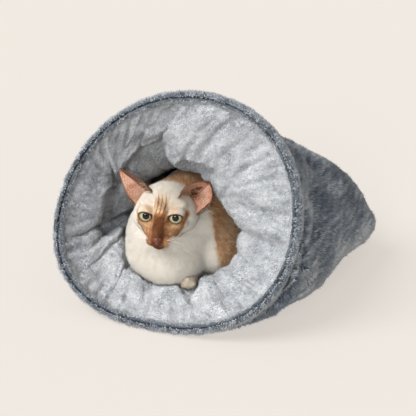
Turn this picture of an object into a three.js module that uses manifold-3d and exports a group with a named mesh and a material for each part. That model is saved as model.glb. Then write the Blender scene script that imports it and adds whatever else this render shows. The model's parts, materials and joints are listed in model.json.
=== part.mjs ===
// A plush cat lying in its padded cave bed, in millimetres, +Z up.
//
// The bed is a soft sack that lies on the floor. A sprung hoop holds its round, leaning mouth open at -Y,
// and the far end is sewn shut. Its wall is a furry cover, wadding in six lobes, and a plush lining.
// The cat is a stuffed toy: skins over wadding, a head that turns on a disc joint in the neck, and
// plastic eyes and nose, each held by a washer. It lies loose in the bed and slides out of the mouth.

import * as THREE from 'three';
import { mergeVertices } from 'three/addons/utils/BufferGeometryUtils.js';
import Module from 'manifold-3d';

const wasm = await Module();
wasm.setup();

const { degToRad, lerp, smoothstep } = THREE.MathUtils;

// ---------------------------------------------------------------- driving dimensions

const seamGap = 0.3; // between pieces that touch
const pinClearance = 0.4; // round a stem in its hole

// The bed's cover.
const bedLength = 356; // floor edge of the mouth to the rear seam
const mouthHalfWidth = 168;
const mouthHeight = 312; // along the leaning plane of the mouth
const mouthLean = 22; // degrees that the mouth tips back
const hoodSideLean = 0.09; // sideways drift of the soft hood, per millimetre of height
const shoulderHalfWidth = 174;
const bellyHalfWidth = 190;
const rumpHalfWidth = 193;
const rearHalfWidth = 190;
const shoulderDrop = 37; // the hood's height falls by these behind the mouth
const bellyDrop = 83;
const rumpDrop = 128;
const rearThickness = 60; // of the flattened end, at its seam
const rearSeamLevel = 50;
const rearCornerPull = 34; // how far the rear corners are rounded off
const rimLift = 2.2; // the rim's binding stands on the floor, just lower than the wall behind it
const flatDepth = 7; // how much of the round underside is pressed flat by the floor
const coverThickness = 4;
const baseThickness = 3;

// The bed's mouth.
const hoopWire = 4;
const rimWall = 12; // padded wall just behind the hoop
const bindingRadius = 7.5;
const bindingThickness = 2.5;
const bindingSeamAngle = 294; // where the ends of the binding and of the hoop meet
const sleeveLength = 16;
const sleeveWall = 0.8;

// The bed's lining.
const liningThickness = 4;
const floorWall = 36; // padded floor under the cat
const crownWall = 56; // padded roof at the throat
const rumpWall = 34; // padded roof over the cat's back end
const hoodSag = 22; // how far the soft hood hangs in over the cat's left shoulder
const hoodSagAngle = 52;
const hoodSagSpread = 26;
const sideRoom = 20; // slack of the cave beside the cat
const throatDepth = 0.17; // share of the length at which the funnel of the mouth ends
const cavityEnd = 0.86; // share of the length at which the back lining stands
const coverEnd = 0.985; // share of the length at which the cover meets its rear tape
const tackLength = 12;
const tackWidth = 2.4;

// The cat.
const catHalfWidth = 76;
const catHeight = 126;
const catClearance = 14; // between the cat's flanks and the lining
const catFront = 66; // behind the mouth's floor edge
const rumpClearance = 12; // between the cat's back end and the cave's
const catLength = cavityEnd * bedLength - rumpClearance - catFront;
const catCentre = new THREE.Vector3(-10, catFront + catLength / 2, 0);
const chestRadii = new THREE.Vector3(63, 62, 66);
const chestCentre = new THREE.Vector3(-34, 113, 50); // above the padded floor
const skinThickness = 2.5;
const headRadii = new THREE.Vector3(42, 45, 38);
const headCentre = new THREE.Vector3(-28, 92, 100); // above the padded floor
const headYaw = 12; // degrees, to the cat's left
const neckTilt = 35; // degrees that the neck's axis leans forward
const ruffRadius = 59; // room for the head to turn in, inside the fluffy ruff
const neckDrop = 30; // head's centre to the neck joint, along that axis
const eyeSpacing = 40;
const eyeRadius = 6.5;
const eyeStemRadius = 2;
const eyeStemLength = 13;
const eyeWasherRadius = 6;
const noseWidth = 13;
const earLength = 47;
const earHalfWidth = 18;
const earThickness = 1.6;
const neckDiscRadius = 17;
const neckStemRadius = 4;
const tailRadius = 11;
const whiskerLength = 34;

// ---------------------------------------------------------------- materials

const cloth = (color, roughness = 0.95) => new THREE.MeshStandardMaterial({ color, roughness, metalness: 0 });
function hard(color, roughness, metalness = 0) {
  return new THREE.MeshStandardMaterial({ color, roughness, metalness });
}

const furGrey = cloth(0x6d7680);
const baseGrey = cloth(0x4a5058);
const bindingGrey = cloth(0x7f8993);
const plushGrey = cloth(0xb4b9bf);
const waddingWhite = cloth(0xf1efea);
const threadGrey = cloth(0x8d949c);
const hoopSteel = hard(0x9aa0a6, 0.35, 0.9);
const sleeveBrass = hard(0xb59a5a, 0.4, 0.9);
const creamFur = cloth(0xefe7d7);
const tanFur = cloth(0xad7b51);
const maskFur = cloth(0x8a5330);
const earPink = cloth(0xb5745a);
const eyePlastic = hard(0xcfd08a, 0.1);
const nosePlastic = hard(0xb06552, 0.45);
const jointPlastic = hard(0xe8e8e4, 0.5);
const whiskerNylon = hard(0xf6f3ec, 0.3);

// ---------------------------------------------------------------- solids

// A closed body from rings of the same even number of points. The ends are closed by strips that join
// point i to its opposite. On a folded band, whose second half runs back over the first, the faces of
// both halves are split along the same diagonals, so that bands of the same grid nest without touching.
function loft(rings, folded = false) {
  const size = rings[0].length;
  const positions = rings.flat().flatMap((p) => [p.x, p.y, p.z]);
  const faces = [];
  for (let r = 0; r + 1 < rings.length; r++) {
    for (let i = 0; i < size; i++) {
      const a = r * size + i;
      const b = r * size + ((i + 1) % size);
      if (folded && i >= size / 2) {
        faces.push(a, b, a + size, b, b + size, a + size);
      } else {
        faces.push(a, b, b + size, a, b + size, a + size);
      }
    }
  }
  const last = (rings.length - 1) * size;
  for (let i = 0; i < size / 2 - 1; i++) {
    const j = size - 1 - i;
    faces.push(i, j, j - 1, i, j - 1, i + 1);
    faces.push(last + i, last + j - 1, last + j, last + i, last + i + 1, last + j - 1);
  }
  const geometry = new THREE.BufferGeometry();
  geometry.setAttribute('position', new THREE.Float32BufferAttribute(positions, 3));
  geometry.setIndex(faces);
  return facingOut(geometry);
}

// Reverses a geometry's faces if they point inwards.
function facingOut(geometry) {
  const p = geometry.getAttribute('position');
  const index = geometry.index.array;
  const corner = [0, 1, 2].map(() => new THREE.Vector3());
  let volume = 0;
  for (let i = 0; i < index.length; i += 3) {
    corner.forEach((c, k) => c.fromBufferAttribute(p, index[i + k]));
    volume += corner[0].dot(corner[1].cross(corner[2]));
  }
  if (volume < 0) {
    for (let i = 0; i < index.length; i += 3) {
      [index[i + 1], index[i + 2]] = [index[i + 2], index[i + 1]];
    }
  }
  return geometry;
}

function toSolid(geometry) {
  const bare = geometry.clone();
  bare.deleteAttribute('normal');
  bare.deleteAttribute('uv');
  const merged = mergeVertices(bare, 1e-4);
  return new wasm.Manifold(
    new wasm.Mesh({
      numProp: 3,
      vertProperties: new Float32Array(merged.getAttribute('position').array),
      triVerts: new Uint32Array(merged.index.array),
    }),
  );
}

function toGeometry(solid) {
  const mesh = solid.getMesh();
  const geometry = new THREE.BufferGeometry();
  const stride = mesh.numProp;
  const positions = new Float32Array(mesh.numVert * 3);
  for (let i = 0; i < mesh.numVert; i++) {
    positions.set(mesh.vertProperties.subarray(i * stride, i * stride + 3), i * 3);
  }
  geometry.setAttribute('position', new THREE.BufferAttribute(positions, 3));
  geometry.setIndex(new THREE.BufferAttribute(mesh.triVerts, 1));
  return geometry;
}

// An ellipsoid with its centre and half sizes as vectors. A power over 2 squares it up.
function egg(centre, radii, { across = 20, down = 13, power = 2, turn = null } = {}) {
  const geometry = new THREE.SphereGeometry(1, across, down);
  const p = geometry.getAttribute('position');
  const q = new THREE.Vector3();
  for (let i = 0; i < p.count; i++) {
    q.fromBufferAttribute(p, i);
    const norm = (Math.abs(q.x) ** power + Math.abs(q.y) ** power + Math.abs(q.z) ** power) ** (1 / power);
    q.divideScalar(norm).multiply(radii);
    if (turn) q.applyEuler(turn);
    q.add(centre);
    p.setXYZ(i, q.x, q.y, q.z);
  }
  return toSolid(geometry);
}

// A round bar from one point to another.
function bar(from, to, radius, sides = 12) {
  const geometry = new THREE.CylinderGeometry(radius, radius, from.distanceTo(to), sides);
  const along = new THREE.Vector3().subVectors(to, from).normalize();
  const turn = new THREE.Quaternion().setFromUnitVectors(new THREE.Vector3(0, 1, 0), along);
  geometry.applyQuaternion(turn);
  geometry.translate(...new THREE.Vector3().addVectors(from, to).multiplyScalar(0.5));
  return toSolid(geometry);
}

function block(low, high) {
  const size = new THREE.Vector3().subVectors(high, low);
  const geometry = new THREE.BoxGeometry(size.x, size.y, size.z);
  geometry.translate(...new THREE.Vector3().addVectors(low, high).multiplyScalar(0.5));
  return toSolid(geometry);
}

// A large block whose lower face passes through a point, square to an axis.
function halfSpace(point, axis, size = 600) {
  const geometry = new THREE.BoxGeometry(size, size, size);
  geometry.translate(0, 0, size / 2);
  geometry.applyQuaternion(new THREE.Quaternion().setFromUnitVectors(new THREE.Vector3(0, 0, 1), axis));
  geometry.translate(...point);
  return toSolid(geometry);
}

// The largest body of a solid that a cut has left in pieces.
function largest(solid) {
  return solid.decompose().sort((a, b) => b.volume() - a.volume())[0];
}

const group = new THREE.Group();

function add(name, geometry, material, parent = group) {
  const mesh = new THREE.Mesh(geometry, material);
  mesh.name = name;
  parent.add(mesh);
  return mesh;
}

// ---------------------------------------------------------------- the sack's outer and inner surfaces

const stations = [0, 0.25, 0.5, 0.75, 1];

// A smooth curve through one value at each station.
function profile(values) {
  const curve = new THREE.CubicInterpolant(stations, values, 1, new Float32Array(1));
  return (v) => curve.evaluate(Math.min(Math.max(v, 0), 1))[0];
}

const sack = {
  y: profile(stations.map((s) => s * bedLength)),
  lean: profile([mouthLean, 14, 6, 1, 0]),
  halfWidth: profile([mouthHalfWidth, shoulderHalfWidth, bellyHalfWidth, rumpHalfWidth, rearHalfWidth]),
  height: profile([
    mouthHeight, mouthHeight - shoulderDrop, mouthHeight - bellyDrop, mouthHeight - rumpDrop, rearThickness,
  ]),
  base: (v) => {
    const mouth = rimLift * (1 - smoothstep(v, 0, 0.12));
    return mouth + (rearSeamLevel - rearThickness / 2) * smoothstep(v, 0.78, 1);
  },
  flatness: (v) => flatDepth * smoothstep(v, 0, 0.15) * (1 - smoothstep(v, 0.85, 1)),
  level: profile([0.44, 0.3, 0.34, 0.3, 0.5]), // widest level, as a share of the height
  below: profile([2.3, 2.5, 2.7, 2.6, 2.2]), // power of the oval under its widest level
  above: profile([2.05, 2.05, 2.1, 2.2, 2.2]),
  cornerPull: (v) => rearCornerPull * smoothstep(v, 0.88, 0.97),
};

// A point of a squared oval, measured from its widest level. Angles are in degrees from +X towards up.
function oval(angle, halfWidth, depth, rise, powerBelow, powerAbove) {
  const c = Math.cos(degToRad(angle));
  const s = Math.sin(degToRad(angle));
  const power = s < 0 ? powerBelow : powerAbove;
  const reach = s < 0 ? depth : rise;
  return new THREE.Vector2(
    halfWidth * Math.sign(c) * Math.abs(c) ** (2 / power),
    reach * Math.sign(s) * Math.abs(s) ** (2 / power),
  );
}

// Section coordinates are x and the distance up the section's leaning plane.
function sackOutline(v, angle) {
  const height = sack.height(v);
  const level = sack.level(v) * height;
  const flatness = sack.flatness(v);
  const p = oval(angle, sack.halfWidth(v), level + flatness, height - level, sack.below(v), sack.above(v));
  p.x += hoodSideLean * (1 - v) * p.y;
  p.y = Math.max(p.y + level, 0);
  return p;
}

const cavity = {
  halfWidth: catHalfWidth + catClearance + sideRoom,
  sag: (v, angle) => {
    const spread = (angle - hoodSagAngle) / hoodSagSpread;
    return hoodSag * Math.exp(-spread * spread) * (1 - smoothstep(v, 0.3, 0.6));
  },
  centre: profile([-26, -24, -14, -10, -10]),
  roofWall: profile([crownWall, crownWall, 48, rumpWall, 26]),
};

function cavityOutline(v, angle) {
  const lean = degToRad(sack.lean(v));
  const floor = floorWall / Math.cos(lean);
  const roof = sack.height(v) - cavity.roofWall(v);
  const level = floor + 0.42 * (roof - floor);
  const p = oval(angle, cavity.halfWidth, level - floor, roof - level, 2.6, 2.3);
  p.setLength(p.length() - cavity.sag(v, angle));
  return p.add(new THREE.Vector2(cavity.centre(v), level));
}

// The lining's face: a funnel from the rim down to the throat, then the cavity.
function liningOutline(v, angle) {
  const edge = sackOutline(v, angle);
  const middle = new THREE.Vector2(0, sack.level(v) * sack.height(v));
  const rim = edge.clone().add(middle.clone().sub(edge).setLength(rimWall));
  return rim.lerp(cavityOutline(v, angle), smoothstep(v, 0, throatDepth));
}

function place(v, p) {
  const lean = degToRad(sack.lean(v));
  const pull = sack.cornerPull(v) * Math.abs(p.x / sack.halfWidth(v)) ** 4;
  return new THREE.Vector3(p.x, sack.y(v) + p.y * Math.sin(lean) - pull, sack.base(v) + p.y * Math.cos(lean));
}

// Points in the wall, by their depth under the cover's face, or by their height over the lining's face
// (negative within the wall).
function underCover(v, angle, depth) {
  const outer = sackOutline(v, angle);
  const step = liningOutline(v, angle).sub(outer).setLength(depth);
  return place(v, outer.add(step));
}

function overLining(v, angle, height) {
  const inner = liningOutline(v, angle);
  const step = inner.clone().sub(sackOutline(v, angle)).setLength(Math.abs(height));
  return place(v, inner.addScaledVector(step, Math.sign(height)));
}

// The folds between the six lobes of wadding and lining, and the two edges of the underside, all lie on
// one grid of angles, and every wall piece is built on it.
const lobes = {
  front_lip: [205, 311],
  lower_right: [-49, -17],
  right: [-17, 25],
  upper_right: [25, 96],
  upper_left: [96, 150],
  left: [150, 205],
};
const baseAngles = [242, 298];
const angleGrid = [
  -62, -49, -33, -17, -3, 11, 25, 39, 53, 67, 82, 96, 109, 123, 136, 150,
  164, 178, 192, 205, 217, 230, 242, 256, 270, 284, 298, 311,
];
const lengthGrid = [0.05, 0.1, 0.17, 0.27, 0.38, 0.5, 0.62, 0.74, cavityEnd, 0.93, coverEnd];
const angleGap = 0.2; // degrees, about a seam gap at the lining
const rimCover = bindingRadius + seamGap; // the rim's binding reaches this far behind the hoop

// How much of v covers the rim's binding, at an angle.
function wallStart(angle) {
  const step = 0.02;
  const front = place(0, sackOutline(0, angle));
  const behind = place(step, sackOutline(step, angle));
  return (rimCover * step) / behind.distanceTo(front);
}

function gridBetween(grid, from, to) {
  return [from, ...grid.filter((x) => x > from + 0.5 * angleGap && x < to - 0.5 * angleGap), to];
}

// A piece of the wall between two angles and two faces. Each face is a function of v and the angle.
function wallPiece(angles, end, outer, inner) {
  const across = gridBetween(angleGrid, ...angles);
  const rings = [0, ...lengthGrid.filter((v) => v < end - 0.01), end].map((station) => {
    const at = (angle) => (station === 0 ? wallStart(angle) : station);
    return [
      ...across.map((angle) => outer(at(angle), angle)),
      ...across.toReversed().map((angle) => inner(at(angle), angle)),
    ];
  });
  return loft(rings, true);
}

// A point of a face at any v, on the straight line between the nearest stations of the grid.
function onGrid(face, v, angle) {
  const next = lengthGrid.findIndex((station) => station > v);
  if (next < 1) return face(v, angle);
  const [before, after] = [lengthGrid[next - 1], lengthGrid[next]];
  return face(before, angle).lerp(face(after, angle), (v - before) / (after - before));
}

// Full rings of the grid. They start at the right-hand side, so that their ends are closed by strips
// that run from the underside to the top.
const fullCircle = [...angleGrid.slice(4, -2), ...angleGrid.slice(0, 4)];

function fullRings(places, face) {
  return loft(places.map((v) => fullCircle.map((angle) => onGrid(face, v, angle))));
}

// All the space inside the lining, less a margin.
function room(margin) {
  const places = [0.04, ...lengthGrid.filter((v) => v < cavityEnd), cavityEnd - margin / bedLength];
  return toSolid(fullRings(places, (v, angle) => overLining(v, angle, margin)));
}

// ---------------------------------------------------------------- the bed

const bed = new THREE.Group();
group.add(bed);

const stepBack = (mm) => mm / bedLength;

function makeCovers() {
  const face = (depth) => (v, angle) => underCover(v, angle, depth);
  const skin = (thickness) => [face(0), face(thickness)];
  const upper = [baseAngles[1] - 360 + angleGap, baseAngles[0] - angleGap];
  const under = baseAngles.map((angle, i) => angle + (i ? -angleGap : angleGap));
  add('cover_upper', wallPiece(upper, coverEnd, ...skin(coverThickness)), furGrey, bed);
  add('cover_base', wallPiece(under, coverEnd, ...skin(baseThickness)), baseGrey, bed);
}

function makeLobes() {
  for (const [name, [from, to]] of Object.entries(lobes)) {
    const angles = [from + angleGap, to - angleGap];
    add('wadding_' + name, wallPiece(
      angles,
      cavityEnd,
      (v, angle) => underCover(v, angle, coverThickness + seamGap),
      (v, angle) => overLining(v, angle, -liningThickness - seamGap),
    ), waddingWhite, bed);
    add('lining_' + name, wallPiece(
      angles,
      cavityEnd,
      (v, angle) => overLining(v, angle, -liningThickness),
      (v, angle) => overLining(v, angle, -0.01),
    ), plushGrey, bed);
  }
}

// The closed end: a back lining sewn in behind the lobes, wadding, and a tape over the rear seam.
function makeRearEnd() {
  const inCover = (v, angle) => underCover(v, angle, coverThickness + 8 * seamGap);
  const liningFront = cavityEnd + stepBack(seamGap);
  const waddingFront = liningFront + stepBack(liningThickness + seamGap);
  add('lining_back', fullRings([liningFront, waddingFront - stepBack(seamGap)], inCover), plushGrey, bed);
  add('wadding_back', fullRings([waddingFront, 0.93, 0.97], inCover), waddingWhite, bed);
  const flattened = (v, angle) => {
    const edge = sackOutline(v, angle);
    edge.y = lerp(edge.y, rearThickness / 2, smoothstep(v, coverEnd, 1.01));
    return place(v, edge);
  };
  const tapePlaces = [coverEnd + stepBack(6 * seamGap), 0.998, 1.006];
  add('rear_seam_tape', fullRings(tapePlaces, flattened), bindingGrey, bed);
}

// The hoop runs round the mouth inside its binding. Both are cut at the binding's seam.
function rimFrame(angle) {
  const centre = underCover(0, angle, rimWall / 2);
  const ahead = underCover(0, angle + 1, rimWall / 2);
  const tangent = ahead.sub(centre).normalize();
  const back = new THREE.Vector3(0, Math.cos(degToRad(mouthLean)), -Math.sin(degToRad(mouthLean)));
  const outward = new THREE.Vector3().crossVectors(tangent, back).normalize();
  return { centre, back, outward };
}

function sweepRim(section, steps, gapAngle, folded = false) {
  const rings = [];
  for (let i = 0; i <= steps; i++) {
    const angle = bindingSeamAngle + lerp(gapAngle, 360 - gapAngle, i / steps);
    const { centre, back, outward } = rimFrame(angle);
    rings.push(section.map(([out, behind]) =>
      centre.clone().addScaledVector(outward, out).addScaledVector(back, behind)));
  }
  return loft(rings, folded);
}

function arc(radius, from, to, count) {
  return Array.from({ length: count }, (_, i) => {
    const angle = degToRad(lerp(from, to, i / (count - 1)));
    return [radius * Math.cos(angle), radius * Math.sin(angle)];
  });
}

function makeRim() {
  const open = 38; // degrees each side of straight back, where the wall's edge goes in
  const outside = arc(bindingRadius, 90 + open, 450 - open, 8);
  const inside = arc(bindingRadius - bindingThickness, 450 - open, 90 + open, 8);
  add('rim_binding', sweepRim([...outside, ...inside], 40, 0.12, true), bindingGrey, bed);
  const wire = arc(hoopWire / 2, 0, 300, 6);
  add('rim_hoop', sweepRim(wire, 40, 0.12), hoopSteel, bed);

  // A crimped sleeve holds the two ends of the hoop.
  const { centre, outward, back } = rimFrame(bindingSeamAngle);
  const along = new THREE.Vector3().crossVectors(back, outward).normalize().multiplyScalar(sleeveLength / 2);
  const bore = hoopWire / 2 + 2 * pinClearance;
  const outer = bar(centre.clone().sub(along), centre.clone().add(along), bore + sleeveWall);
  const past = along.clone().multiplyScalar(1.2);
  const inner = bar(centre.clone().sub(past), centre.clone().add(past), bore);
  add('hoop_sleeve', toGeometry(outer.subtract(inner)), sleeveBrass, bed);
}

// Bar tacks pull the lining in where two lobes meet.
const tacks = [[96, 0.2], [150, 0.3], [205, 0.2], [-49, 0.22], [-17, 0.2]];

function makeTacks(inside) {
  tacks.forEach(([angle, v], i) => {
    const along = stepBack(tackLength / 2);
    const stitch = bar(overLining(v - along, angle, 0.1), overLining(v + along, angle, 0.1), tackWidth, 10);
    add('lining_tack_' + (i + 1), toGeometry(stitch.intersect(inside)), threadGrey, bed);
  });
}

makeCovers();
makeLobes();
makeRearEnd();
makeRim();
makeTacks(room(seamGap));

// ---------------------------------------------------------------- the cat's body

const cat = new THREE.Group();
group.add(cat);

const floorTop = floorWall + seamGap;
const lift = (p) => p.clone().add(new THREE.Vector3(0, 0, floorTop));
const shrink = (radii, by) => radii.clone().subScalar(by);

const head = lift(headCentre);
const neckAxis = new THREE.Vector3(0, -Math.sin(degToRad(neckTilt)), Math.cos(degToRad(neckTilt)));
const neck = head.clone().addScaledVector(neckAxis, -neckDrop);

// The body below the neck plane: a loaf with a round chest, flat where it lies on the floor.
function bodySolid(inset) {
  const radii = shrink(new THREE.Vector3(catHalfWidth, catLength / 2, catHeight / 2), inset);
  const middle = new THREE.Vector3(catCentre.x, catCentre.y, catHeight / 2 - 4);
  const loaf = egg(lift(middle), radii, { power: 2.2 });
  const chest = egg(lift(chestCentre), shrink(chestRadii, inset));
  const aboveNeck = halfSpace(neck.clone().addScaledVector(neckAxis, -inset - seamGap / 2), neckAxis);
  const ruffRoom = egg(head, new THREE.Vector3().setScalar(ruffRadius + inset));
  const floor = new THREE.Vector3(0, 0, floorTop + inset + seamGap);
  const underFloor = halfSpace(floor, new THREE.Vector3(0, 0, -1));
  return loaf.add(chest)
    .subtract(aboveNeck.intersect(ruffRoom))
    .subtract(underFloor)
    .intersect(room(2 * seamGap + inset));
}

const stemEnd = neck.clone().addScaledVector(neckAxis, -16);
const stemHole = bar(stemEnd, neck.clone().addScaledVector(neckAxis, 20), neckStemRadius + pinClearance);
const washerPocket = bar(
  neck,
  neck.clone().addScaledVector(neckAxis, -20),
  neckDiscRadius + seamGap, 20,
);

function makeBody() {
  const outside = bodySolid(0);
  const shell = outside.subtract(bodySolid(skinThickness)).subtract(stemHole);
  const split = new THREE.Vector3(0, chestCentre.y + 22, 0);
  const backwards = new THREE.Vector3(0, 1, 0);
  const behind = halfSpace(split, backwards);
  const front = shell.subtract(behind);
  const rear = shell.intersect(halfSpace(split.clone().addScaledVector(backwards, seamGap), backwards));
  add('chest_skin', toGeometry(front), creamFur, cat);
  add('back_skin', toGeometry(rear), tanFur, cat);
  const fill = bodySolid(skinThickness + seamGap).subtract(washerPocket);
  add('body_wadding', toGeometry(fill), waddingWhite, cat);
}

// A leg lies along the body and is cut to lean on it.
function makeLeg(name, centre, radii, turn, material, body) {
  const floor = new THREE.Vector3(0, 0, floorTop + seamGap);
  const leg = egg(lift(centre), radii, { turn, across: 16, down: 10 })
    .subtract(halfSpace(floor, new THREE.Vector3(0, 0, -1)))
    .subtract(body)
    .intersect(room(2 * seamGap));
  add(name, toGeometry(largest(leg)), material, cat);
  return egg(lift(centre), radii.clone().addScalar(seamGap), { turn, across: 16, down: 10 });
}

function makeLegs(near) {
  let legs = near;
  for (const side of [-1, 1]) {
    const which = side < 0 ? 'right' : 'left';
    legs = legs.add(makeLeg(
      'foreleg_' + which,
      new THREE.Vector3(chestCentre.x + side * 24 + 16, chestCentre.y - 34 - (side > 0 ? 10 : 0), 11),
      new THREE.Vector3(15, 40, 13),
      new THREE.Euler(0, 0, degToRad(side * 8)),
      creamFur,
      near,
    ));
    legs = legs.add(makeLeg(
      'hind_leg_' + which,
      new THREE.Vector3(catCentre.x + side * (catHalfWidth - 22), catCentre.y + 40, 34),
      new THREE.Vector3(30, 62, 42),
      new THREE.Euler(0, 0, degToRad(side * -6)),
      tanFur,
      near,
    ));
  }
  return legs;
}

// ---------------------------------------------------------------- the cat's tail

// A tapered tube along a curve, closed by its own end sections.
function taperedTube(points, radiusAt, steps, sides) {
  const curve = new THREE.CatmullRomCurve3(points);
  const frames = curve.computeFrenetFrames(steps, false);
  const rings = [];
  for (let i = 0; i <= steps; i++) {
    const centre = curve.getPointAt(i / steps);
    const radius = radiusAt(i / steps);
    rings.push(arc(radius, 0, 360 - 360 / sides, sides).map(([a, b]) =>
      centre.clone().addScaledVector(frames.normals[i], a).addScaledVector(frames.binormals[i], b)));
  }
  return loft(rings);
}

function makeTail(near) {
  const z = tailRadius + 2;
  const rear = catCentre.y + catLength / 2;
  const points = [
    new THREE.Vector3(catCentre.x + 4, rear - 10, z + 8),
    new THREE.Vector3(catCentre.x + 34, rear - 6, z + 2),
    new THREE.Vector3(catCentre.x + 66, rear - 36, z),
    new THREE.Vector3(catCentre.x + catHalfWidth + 6, rear - 84, z),
  ].map(lift);
  const tail = toSolid(taperedTube(points, (t) => tailRadius * (1 - 0.35 * t), 14, 10))
    .subtract(near)
    .intersect(room(2 * seamGap));
  add('tail', toGeometry(largest(tail)), maskFur, cat);
}

// ---------------------------------------------------------------- the cat's head

// Head coordinates: +X is the cat's left, -Y the way it looks, with the origin at the head's centre.
const toHead = new THREE.Matrix4().makeRotationZ(degToRad(headYaw)).setPosition(head);
const onHead = (x, y, z) => new THREE.Vector3(x, y, z).applyMatrix4(toHead);
const headTurn = new THREE.Euler(0, 0, degToRad(headYaw));

function headSolid(inset) {
  const part = (x, y, z, rx, ry, rz) => {
    const radii = shrink(new THREE.Vector3(rx, ry, rz), inset);
    return egg(onHead(x, y, z), radii, { turn: headTurn, across: 16, down: 10 });
  };
  const belowNeck = halfSpace(
    neck.clone().addScaledVector(neckAxis, inset + seamGap / 2),
    neckAxis.clone().negate(),
  );
  return part(0, 0, 0, headRadii.x, headRadii.y, headRadii.z)
    .add(part(0, -37, -20, 19, 25, 17))
    .add(part(-24, -8, -14, 27, 28, 24))
    .add(part(24, -8, -14, 27, 28, 24))
    .subtract(belowNeck);
}

// An eye or the nose: a domed front, a stem through the skin and a washer inside.
function makeButton(name, at, out, radii, washerRadius, material) {
  const outward = out.clone().normalize();
  const point = (d) => at.clone().addScaledVector(outward, d);
  const dome = egg(at, radii, { turn: headTurn, across: 14, down: 8 });
  const stem = bar(point(0), point(-eyeStemLength), eyeStemRadius, 8);
  const dent = egg(at, radii.clone().addScalar(seamGap + 0.2), { turn: headTurn, across: 14, down: 8 });
  const washerAt = -(eyeStemLength - 3);
  const washer = bar(point(washerAt), point(washerAt + 1.5), washerRadius)
    .subtract(bar(point(-eyeStemLength), point(0), eyeStemRadius + pinClearance, 8));
  const pocket = bar(point(-eyeStemLength - 1), point(washerAt + 2.2), washerRadius + seamGap);
  const hole = bar(point(-eyeStemLength - 1), point(1), eyeStemRadius + pinClearance, 8);
  add(name, toGeometry(dome.add(stem)), material, cat);
  add(name + '_washer', toGeometry(washer), jointPlastic, cat);
  return dent.add(pocket).add(hole);
}

// An ear is a leaf rolled into a cup: a furry back and a thin lining in front of it.
function makeEar(which, root, tip, facing, cupAngle, skull) {
  const axis = new THREE.Vector3().subVectors(tip, root);
  const length = axis.length();
  axis.normalize();
  const forward = facing.clone().addScaledVector(axis, -facing.dot(axis)).normalize();
  const across = new THREE.Vector3().crossVectors(axis, forward).normalize();
  const layer = (from, to) => {
    const rings = [];
    for (let i = 0; i <= 8; i++) {
      const t = i / 8;
      const half = Math.max(0.12, Math.sin(Math.PI * (0.30 + 0.68 * t)) ** 0.8) * earHalfWidth;
      const bend = degToRad(lerp(cupAngle, 30, t));
      const radius = half / Math.sin(bend);
      const side = (d, k) => {
        const angle = lerp(-bend, bend, k / 6);
        return root.clone()
          .addScaledVector(axis, t * length)
          .addScaledVector(across, (radius - d) * Math.sin(angle))
          .addScaledVector(forward, d - (radius) * Math.cos(angle) + radius * Math.cos(bend));
      };
      const ring = [];
      for (let k = 0; k <= 6; k++) ring.push(side(from, k));
      for (let k = 6; k >= 0; k--) ring.push(side(to, k));
      rings.push(ring);
    }
    return loft(rings, true);
  };
  const cut = (layered) => toGeometry(largest(toSolid(layered).subtract(skull)));
  add('ear_' + which + '_back', cut(layer(0, earThickness)), tanFur, cat);
  const liningFrom = earThickness + seamGap;
  add('ear_' + which + '_lining', cut(layer(liningFrom, liningFrom + earThickness)), earPink, cat);
}

// Four nylon whiskers on each side, tied in one knot behind the muzzle's skin.
function makeWhiskers(which, side) {
  const knot = onHead(side * 12, -53, -26);
  let bunch = egg(knot, new THREE.Vector3(2.2, 2.2, 2.2), { across: 8, down: 6 });
  for (const [spread, drop] of [[-0.45, 0.02], [-0.2, -0.12], [0.05, -0.26], [0.3, -0.4]]) {
    const way = new THREE.Vector3(side, spread, drop).normalize().multiplyScalar(whiskerLength);
    const end = knot.clone().add(way.applyEuler(headTurn));
    bunch = bunch.add(bar(knot, end, 0.4, 5));
  }
  add('whiskers_' + which, toGeometry(bunch), whiskerNylon, cat);
  return egg(knot, new THREE.Vector3(2.7, 2.7, 2.7), { across: 8, down: 6 });
}

function makeNeckJoint() {
  const point = (d) => neck.clone().addScaledVector(neckAxis, d);
  const seat = skinThickness + 2 * seamGap;
  const stem = bar(point(seat), stemEnd, neckStemRadius);
  const disc = bar(point(seat), point(seat + 3), neckDiscRadius, 20).add(stem);
  add('neck_disc', toGeometry(disc), jointPlastic, cat);
  const hole = bar(point(0), point(-30), neckStemRadius + pinClearance);
  const washer = bar(point(-seat - seamGap), point(-seat - 2.3), neckDiscRadius, 20).subtract(hole);
  add('neck_washer', toGeometry(washer), jointPlastic, cat);
  const lock = bar(point(-seat - 2.6), point(-seat - 5.6), neckStemRadius * 2.2).subtract(hole);
  add('neck_lock_ring', toGeometry(lock), jointPlastic, cat);
  return bar(point(seat - seamGap), point(seat + 3 + seamGap), neckDiscRadius + seamGap, 20).add(stemHole);
}

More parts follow.
